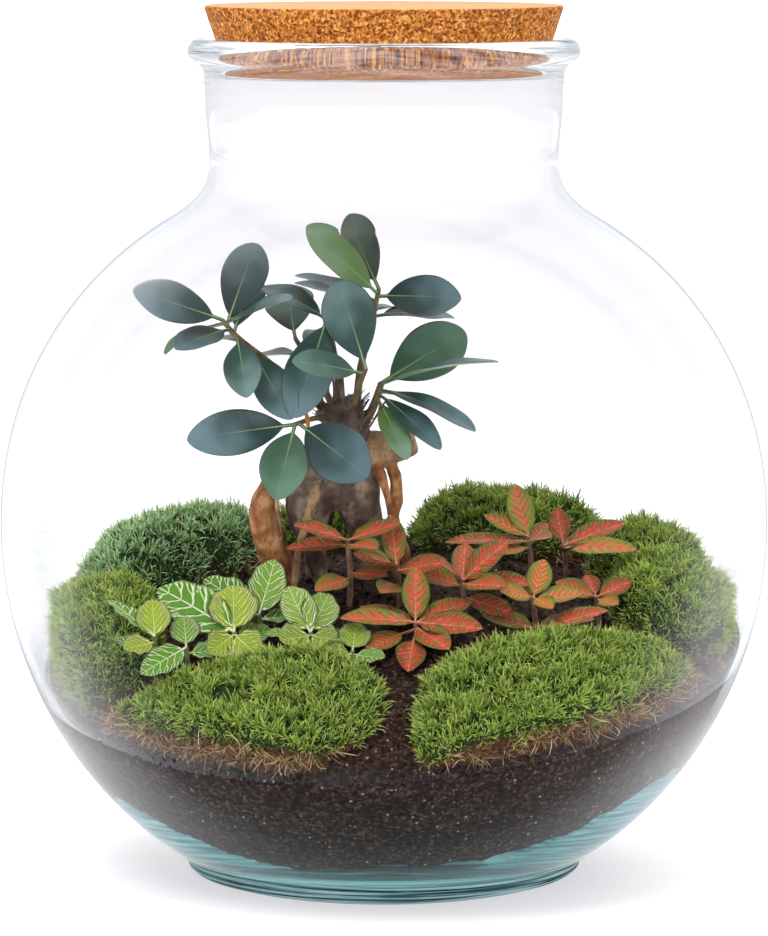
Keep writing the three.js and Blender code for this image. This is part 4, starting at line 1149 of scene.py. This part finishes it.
redShoots = {
    "a": {"at": [12, -51], "tip": 106, "leaves": [
        [1, -160, 12, 30, 12, 16, 0.35], [0.97, 150, 18, 26, 10, 18, 0.2], [0.98, 22, 24, 25, 11, 18, 0.4],
        [1, -30, 4, 28, 13, 16, 0.45], [0.82, -64, -6, 25, 12, 14, 0.55], [1, 88, 64, 23, 11, 8, 0.9],
        [0.82, -98, -22, 29, 12, 12, 0.7, 8], [0.8, -142, -10, 25, 11, 12, 0.4, 6]]},
    "b": {"at": [5, -30], "tip": 124, "leaves": [
        [1, -112, 22, 22, 11, 14, 0.45], [0.97, -150, 26, 20, 11, 14, 0.45], [0.9, 40, 8, 20, 10, 14, 0.3],
        [1, 100, 56, 24, 10, 10, 0.9], [0.93, -30, 18, 22, 11, 14, 0.45], [0.7, -110, 6, 20, 11, 14, 0.5]]},
    "c": {"at": [-14, -27], "tip": 134, "leaves": [
        [1, -150, 24, 24, 10, 16, 0.4], [1, 10, 22, 22, 10, 14, 0.35], [0.94, -178, 4, 24, 10, 16, 0.35],
        [0.94, -60, 10, 22, 10, 14, 0.4], [0.55, -128, -2, 21, 10, 12, 0.45],
        [0.6, -40, 6, 18, 9, 12, 0.4]]},
    "d": {"at": [57, -47], "tip": 115, "leaves": [
        [1, 60, 56, 17, 10, 12, 0.8], [1, -150, 20, 15, 10, 12, 0.45, 0, 0.7],
        [1, -60, -4, 14, 8, 12, 0.45, 0, 0.8],
        [0.97, 2, 12, 19, 10, 14, 0.4], [0.95, 128, 20, 18, 9, 14, 0.3], [0.5, 28, 10, 27, 10, 14, 0.3],
        [0.45, -20, 24, 30, 11, 14, 0.35], [0.5, -104, 14, 18, 9, 12, 0.5],
        [0.5, 165, 16, 22, 10, 12, 0.4]]},
    "e": {"at": [82, -31], "tip": 113, "leaves": [
        [1, 25, 22, 17, 9, 12, 0.5], [1, 112, 40, 13, 8, 12, 0.6], [0.95, -55, 4, 13, 8, 12, 0.5, 0, 0.8],
        [1, -172, 24, 17, 9, 12, 0.5]]},
    "f": {"at": [57, 4], "tip": 131, "leaves": [
        [1, 122, 60, 24, 11, 14, 0.9], [1, 170, 30, 20, 9, 14, 0.4, 0, 0.6],
        [0.93, -166, 8, 34, 10, 16, 0.3],
        [0.84, -144, 4, 28, 10, 14, 0.35], [0.95, -70, 16, 20, 9, 14, 0.5], [0.9, 60, 24, 20, 9, 14, 0.4]]},
    "g": {"at": [30, -37], "tip": 120, "leaves": [
        [1, -8, 44, 24, 11, 16, 0.5], [0.94, -50, 10, 24, 11, 14, 0.45], [0.9, -4, 10, 28, 11, 16, 0.4],
        [0.98, 84, 40, 22, 10, 14, 0.6], [0.9, 165, 20, 20, 10, 14, 0.4], [1, -112, 30, 20, 10, 14, 0.5],
        [0.7, -30, -8, 22, 11, 14, 0.45]]},
    "h": {"at": [71, 9], "tip": 127, "leaves": [
        [1, 12, 24, 27, 11, 16, 0.4], [1, 105, 54, 18, 9, 12, 0.8], [0.95, -28, 9, 31, 11, 16, 0.4],
        [0.9, -90, 18, 18, 9, 12, 0.5], [0.9, 58, 14, 22, 10, 14, 0.3]]},
}
whiteLook = {
    "spacing": 5.2, "slant": 0.85, "curve": 0.035, "wander": 1.6, "thick": 0.095, "fine": 0.06,
    "midrib": 0.62, "length": 30, "veinShare": 1.0, "heartShare": 0.0, "pale": "#8fb35e",
    "blade": [(0.0, "#37781a"), (1.0, "#86ac34"), (0.5, "#5f9a22")],
    "heart": [(0.0, "#8fae2c"), (1.0, "#8fae2c")],
    "core": "#8fae2c", "young": "#93b012", "vein": "#eef5c8", "youngVein": "#f8f9ba",
    "youngHeart": "#a9bf1c", "under": "#a9c08c"}
redLook = {
    "spacing": 4.4, "slant": 0.8, "curve": 0.03, "wander": 1.4, "thick": 0.07, "fine": 0.04, "midrib": 0.5,
    "length": 30, "veinShare": 0.35, "heartShare": 0.92, "pale": "#a08a3c",
    "blade": [(0.0, "#3f7020"), (1.0, "#96a83c"), (0.5, "#62882a")],
    "heart": [(0.0, "#a62a16"), (1.0, "#c07f50"), (0.3, "#bf3a1c"), (0.6, "#b8561f"), (0.82, "#cf7c2c")],
    "core": "#f2604e", "young": "#8f9e34", "vein": "#f49a88", "youngVein": "#f4b878",
    "youngHeart": "#dc8238", "under": "#a5745c"}
shootShape = {"root": 7, "bow": (1, 0.5), "radii": [1.1, 1.1, 0.9]}


def makeShoots(kind, slotName, shoots, materials, seed):
    for number, (name, shoot) in enumerate(shoots.items()):
        x, y = shoot["at"]
        root = float(soilHeight(x, y)) - shootShape["root"]
        middle = [x + shootShape["bow"][0], y + shootShape["bow"][1], (root + shoot["tip"]) / 2]
        path = [[x, y, root], middle, [x, y, shoot["tip"]]]
        makeSprig(kind + "_leaves_" + name, kind + "_nerve_plant_" + name, slotName, kind,
                  path, shootShape["radii"], shoot["leaves"], seed + number, materials)


# the shoots' stems are soft and finely hairy, which gives them a pale sheen
paleGreenStem = stemRind("paleGreenStem", 4, "#40592a", "#6b8840", 0.6, sheen=0.3)
pinkBrownStem = stemRind("pinkBrownStem", 4, "#5f4237", "#947058", 0.6, sheen=0.3)
makeShoots("white", "white_vein_leaf", whiteShoots,
           [netLeafSkin("whiteNetLeaf", whiteLook), paleGreenStem], 40)
makeShoots("red", "red_vein_leaf", redShoots, [netLeafSkin("redNetLeaf", redLook), pinkBrownStem], 60)
print("nerve plants made")


# Moss: a matted dome under thousands of star-shaped shoots whose narrow leaves curve outward

moss = {"blades": 9, "bladeWidth": 0.52, "bladeLength": (3.8, 7.6), "spread": (12, 76), "sunk": 4.5,
        "glassGap": 0.5, "wallGap": 3.5, "brim": 1.5, "lump": 2.2, "corner": 2.5,
        "fibreWidth": 0.36, "fibreStep": (1.2, 3.0), "fibreArea": 0.75, "largestCell": 12,
        "matGap": 1.2, "skirt": 5, "strayShare": 0.25, "liveShare": 0.985, "along": 0.6, "up": 0.45,
        "scatter": 0.8, "fibrePoints": 5}
mossCushions = {
    "front_left": {"at": [-59, -91], "half": [55, 31], "turn": 1, "height": 18, "seed": 1,
                   "area": 4.2, "fringe": 10},
    "front_right": {"at": [64, -84], "half": [60, 27], "turn": 28, "height": 17, "seed": 2,
                    "area": 4.2, "fringe": 9},
    "left": {"at": [-117, -18], "half": [30, 39], "turn": 8, "height": 33, "seed": 3, "area": 5.0,
             "fringe": 4},
    "back_left": {"at": [-91, 62], "half": [45, 34], "turn": 40, "height": 32, "seed": 4, "area": 6.5,
                  "fringe": 4, "tones": "bluish"},
    "back_middle": {"at": [-27, 101], "half": [25, 22], "turn": 10, "height": 22, "seed": 5,
                    "area": 6.5, "fringe": 4},
    "back_right": {"at": [50, 85], "half": [41, 26], "turn": -24, "height": 26, "seed": 6,
                   "area": 6.0, "fringe": 4},
    "right_back": {"at": [108, 42], "half": [24, 23], "turn": -30, "height": 25, "seed": 7,
                   "area": 5.5, "fringe": 4},
    "right": {"at": [116, -10], "half": [29, 28], "turn": 10, "height": 27, "seed": 8, "area": 5.0,
              "fringe": 4},
}


mossTones = {
    "yellow": ([(0.0, "#2c4210"), (1.0, "#e8f09c"), (0.4, "#86a838"), (0.75, "#c0d45c")],
               [(0.0, "#1c3010"), (1.0, "#aac664"), (0.6, "#628c34")]),
    "bluish": ([(0.0, "#3a5c2c"), (1.0, "#eef6d2"), (0.4, "#92c070"), (0.75, "#c6e2a4")],
               [(0.0, "#2c4c28"), (1.0, "#c0dcaa"), (0.6, "#7cae70")]),
}


def insideGlass(points, clear):
    # Moves what stands nearer to the glass than clear straight inward
    room = wallRadius(points[..., 2]) - clear
    reach = np.hypot(points[..., 0], points[..., 1])
    squeeze = np.minimum(1, room / np.maximum(reach, 1e-6))[..., None]
    return points * np.concatenate([squeeze, squeeze, 1 + 0 * squeeze], -1)


def mossSurface(shape, out, angle):
    # The cushion: an oval with full corners, half axis |cos|^(2/corner), times the distance out,
    # turned, on the soil. Its height falls off as sqrt(1 - out^3). Near the glass it stands upright.
    seed = shape["seed"]
    wave = 1 + 0.05 * np.sin(3 * angle + seed) + 0.04 * np.sin(5 * angle + 2 * seed)
    c, d = np.cos(angle), np.sin(angle)
    a = shape["half"][0] * out * wave * np.sign(c) * np.abs(c) ** (2 / moss["corner"])
    b = shape["half"][1] * out * wave * np.sign(d) * np.abs(d) ** (2 / moss["corner"])
    turn = math.radians(shape["turn"])
    x = shape["at"][0] + a * math.cos(turn) - b * math.sin(turn)
    y = shape["at"][1] + a * math.sin(turn) + b * math.cos(turn)
    room = wallRadius(bankHeight(x, y)) - moss["wallGap"]
    squeeze = np.minimum(1, room / np.maximum(np.hypot(x, y), 1e-6))
    x, y = x * squeeze, y * squeeze
    dome = moss["brim"] + (shape["height"] - moss["brim"]) * np.sqrt(np.clip(1 - out ** 3, 0, 1))
    flat = np.stack([x, y, 0 * x], -1)
    lumps = softNoise(flat, 11, seed + 50) * moss["lump"]
    lumps = lumps + softNoise(flat, 5, seed + 51) * 0.5 * moss["lump"]
    dome = dome + lumps * smoothStep(1.05, 0.75, out)
    return np.stack([x, y, soilHeight(x, y) + dome], -1)


def ribbons(centres, flats, widths):
    # Flat blades: centre lines n x stations x 3, the direction across n x 3, a width per station.
    # The last station is a point.
    count, stations = centres.shape[:2]
    across = flats[:, None] * (np.asarray(widths) / 2)[None, :-1, None]
    body = np.stack([centres[:, :-1] - across, centres[:, :-1] + across], 2).reshape(count, -1, 3)
    rows = np.concatenate([body, centres[:, -1:]], 1)
    own = np.arange(count)[:, None] * (2 * stations - 1)
    quads = np.concatenate([own + [2 * k, 2 * k + 1, 2 * k + 3, 2 * k + 2] for k in range(stations - 2)])
    tris = own + [2 * stations - 4, 2 * stations - 3, 2 * stations - 2]
    return rows, quads, tris


def strew(shape, area, chance):
    # Places on the cushion, one for each area in square mm, evenly spread over its slopes too
    outs, turns = np.linspace(0.02, 1, 50), np.linspace(0, 2 * math.pi, 121)
    grid = mossSurface(shape, outs[:, None] + 0 * turns, turns + 0 * outs[:, None])
    outward, onward = grid[1:, :-1] - grid[:-1, :-1], grid[:-1, 1:] - grid[:-1, :-1]
    sizes = np.linalg.norm(np.cross(outward, onward), axis=-1)
    sizes = np.minimum(sizes, moss["largestCell"])
    count = int(sizes.sum() / area)
    cell = chance.choice(sizes.size, count, p=sizes.ravel() / sizes.sum())
    around = len(turns) - 1
    out = outs[cell // around] + chance.random(count) * (outs[1] - outs[0])
    angle = turns[cell % around] + chance.random(count) * turns[1]
    step = 0.02
    slopeOut = mossSurface(shape, out + step, angle) - mossSurface(shape, out - step, angle)
    slopeRound = mossSurface(shape, out, angle + step) - mossSurface(shape, out, angle - step)
    normal = unit(np.cross(slopeOut, slopeRound) + [0, 0, 1e-6])
    base = mossSurface(shape, out, angle)
    return base, normal, base[:, 2] - soilHeight(base[:, 0], base[:, 1])


def fringeHeight(shape, points):
    # How high up the cushion's rim is dead: less at the gap in the middle, where green shoots hang
    return shape["fringe"] * (0.3 + 0.7 * smoothStep(12, 36, np.abs(points[:, 0])))


def makeMat(name, shape, material):
    # The dome under the shoots, a little lower than their feet, with a skirt into the soil
    turns, rowCount = 96, 30
    angle = evenTurn(turns)
    out = np.linspace(1.0, 0.03, rowCount)[:, None]
    top = mossSurface(shape, out + 0 * angle, angle + 0 * out)
    sunk = moss["sunk"] * 0.6
    top[..., 2] -= sunk * smoothStep(1.0, 0.85, out)
    skirt = top[:1].copy()
    skirt[..., 2] -= moss["skirt"]
    rings = insideGlass(np.concatenate([skirt, top]), moss["matGap"] + 0.2)
    centre = mossSurface(shape, np.zeros(1), np.zeros(1))[0] - [0, 0, sunk]
    under = np.array([centre[0], centre[1], rings[0, :, 2].mean()])
    rows, quads, tris = skin(rings[None], np.stack([under, centre])[None])
    rough = softNoise(rows, 2.4, shape["seed"] + 30)[:, None] * 0.8
    rows = insideGlass(rows + unit(rows - under) * rough, moss["matGap"])
    level = rows[:, 2] - soilHeight(rows[:, 0], rows[:, 1])
    high = fringeHeight(shape, rows)
    dead = smoothStep(high + 1, high - 3, level)
    mat = addMesh("moss_mat_" + name, rows, quads, tris, [material],
                  {"trait": np.stack([0 * dead, 0 * dead, dead], -1)})
    standFor(mat, "moss", "moss_" + name)


def makeShootsOfMoss(shape, chance):
    # Stars of narrow blades round an axis between the slope's and the vertical. Each blade starts
    # near the axis and curves outward to its own spread.
    base, normal, level = strew(shape, shape["area"], chance)
    edge = fringeHeight(shape, base) * (0.85 + 0.35 * softNoise(base, 7, shape["seed"] + 70))
    keep = (level > edge) | (chance.random(len(base)) < moss["strayShare"])
    base, normal, level, edge = base[keep], normal[keep], level[keep], edge[keep]
    count, each = len(base), moss["blades"]
    scatter = (chance.random((count, 3)) - 0.5) * moss["scatter"]
    axis = unit(normal * moss["along"] + [0, 0, moss["up"]] + scatter)
    base = base - axis * (moss["sunk"] * (0.55 + 0.6 * chance.random(count)))[:, None]
    side = unit(np.cross(axis, [0.3, 0.9, 0.1]))
    other = np.cross(axis, side)
    turn = evenTurn(each)[None] + chance.random((count, 1)) * 6.3
    turn = turn + (chance.random((count, each)) - 0.5) * 0.9
    radial = side[:, None] * np.cos(turn)[..., None] + other[:, None] * np.sin(turn)[..., None]
    spread = np.radians(between(moss["spread"], chance.random((count, each))))[..., None]
    length = between(moss["bladeLength"], chance.random((count, each)) ** 1.3)
    length = (length * (0.8 + 0.4 * chance.random((count, 1))))[..., None]
    first = axis[:, None] * np.cos(spread * 0.4) + radial * np.sin(spread * 0.4)
    second = axis[:, None] * np.cos(spread * 1.2) + radial * np.sin(spread * 1.2)
    foot0 = base[:, None] + radial * 0.15
    knee = foot0 + first * length * 0.45
    elbow = knee + unit(first + second) * length * 0.3
    tip = elbow + second * length * 0.25
    tilt = (chance.random((count, each, 3)) - 0.5) * 0.7
    flat = unit(np.cross(first, radial + axis[:, None] * 0.01) + tilt)
    centres = np.stack([foot0, knee, elbow, tip], 2).reshape(-1, 4, 3)
    widths = moss["bladeWidth"] * np.array([0.7, 1, 0.75, 0])
    rows, quads, tris = ribbons(centres, flat.reshape(-1, 3), widths)
    shares = np.array([0, 0, 0.45, 0.45, 0.75, 0.75, 1.0])
    luck = (chance.random((count, 1)) * 0.65 + chance.random((count, each)) * 0.35)[..., None] + 0 * shares
    old = (level < edge)[:, None, None] | (chance.random((count, each, 1)) > moss["liveShare"])
    trait = np.stack([shares + 0 * luck, luck, old + 0 * luck], -1)
    return np.concatenate([rows.reshape(-1, 3), trait.reshape(-1, 3)], -1), quads, tris


def makeFibres(shape, chance):
    # Dead curly fibres along the lower rim: five points, each a step on from the last in a
    # direction that keeps turning
    base, normal, level = strew(shape, moss["fibreArea"], chance)
    keep = level < fringeHeight(shape, base) * (0.8 + 0.5 * softNoise(base, 5, shape["seed"] + 90))
    base, normal, level = base[keep], normal[keep], level[keep]
    count = len(base)
    heading = unit(normal * [0.9, 0.9, 0.2] + (chance.random((count, 3)) - [0.5, 0.5, 0.62]) * 2.2)
    curl = unit(chance.random((count, 3)) - 0.5) * (0.5 + 0.6 * chance.random((count, 1)))
    size = between(moss["fibreStep"], chance.random((count, 1)) ** 2)
    spots = [base - heading * 1.5]
    for _ in range(moss["fibrePoints"] - 1):
        spots.append(spots[-1] + heading * size)
        heading = unit(heading + curl)
    centres = np.stack(spots, 1)
    flat = unit(np.cross(heading, chance.random((count, 3)) - 0.5))
    rows, quads, tris = ribbons(centres, flat, moss["fibreWidth"] * np.array([1, 1, 0.9, 0.7, 0]))
    luck = chance.random((count, 1)) + np.zeros((1, 9))
    trait = np.stack([0.5 + 0 * luck, luck, 1 + 0 * luck], -1)
    return np.concatenate([rows.reshape(-1, 3), trait.reshape(-1, 3)], -1), quads, tris


def makeMoss(name, shape, materials):
    chance = np.random.default_rng(100 + shape["seed"])
    makeMat(name, shape, materials[1])
    rows, quads, tris = joined([makeShootsOfMoss(shape, chance), makeFibres(shape, chance)])
    points = insideGlass(rows[:, :3], moss["glassGap"])
    ground = soilHeight(points[:, 0], points[:, 1]) - 1.5
    points[:, 2] = np.maximum(points[:, 2], ground)
    shoots = addMesh("moss_shoots_" + name, points, quads, tris, [materials[0]], {"trait": rows[:, 3:6]})
    standFor(shoots, "moss")
    return len(quads) * 2 + len(tris)


mossMaterials = {tones: mossLeaf(tones + "MossLeaf", *stops) for tones, stops in mossTones.items()}
mossMat = mossBase()
mossFaces = sum(makeMoss(name, shape, [mossMaterials[shape.get("tones", "yellow")], mossMat])
                for name, shape in mossCushions.items())
print("moss made,", mossFaces, "triangles")
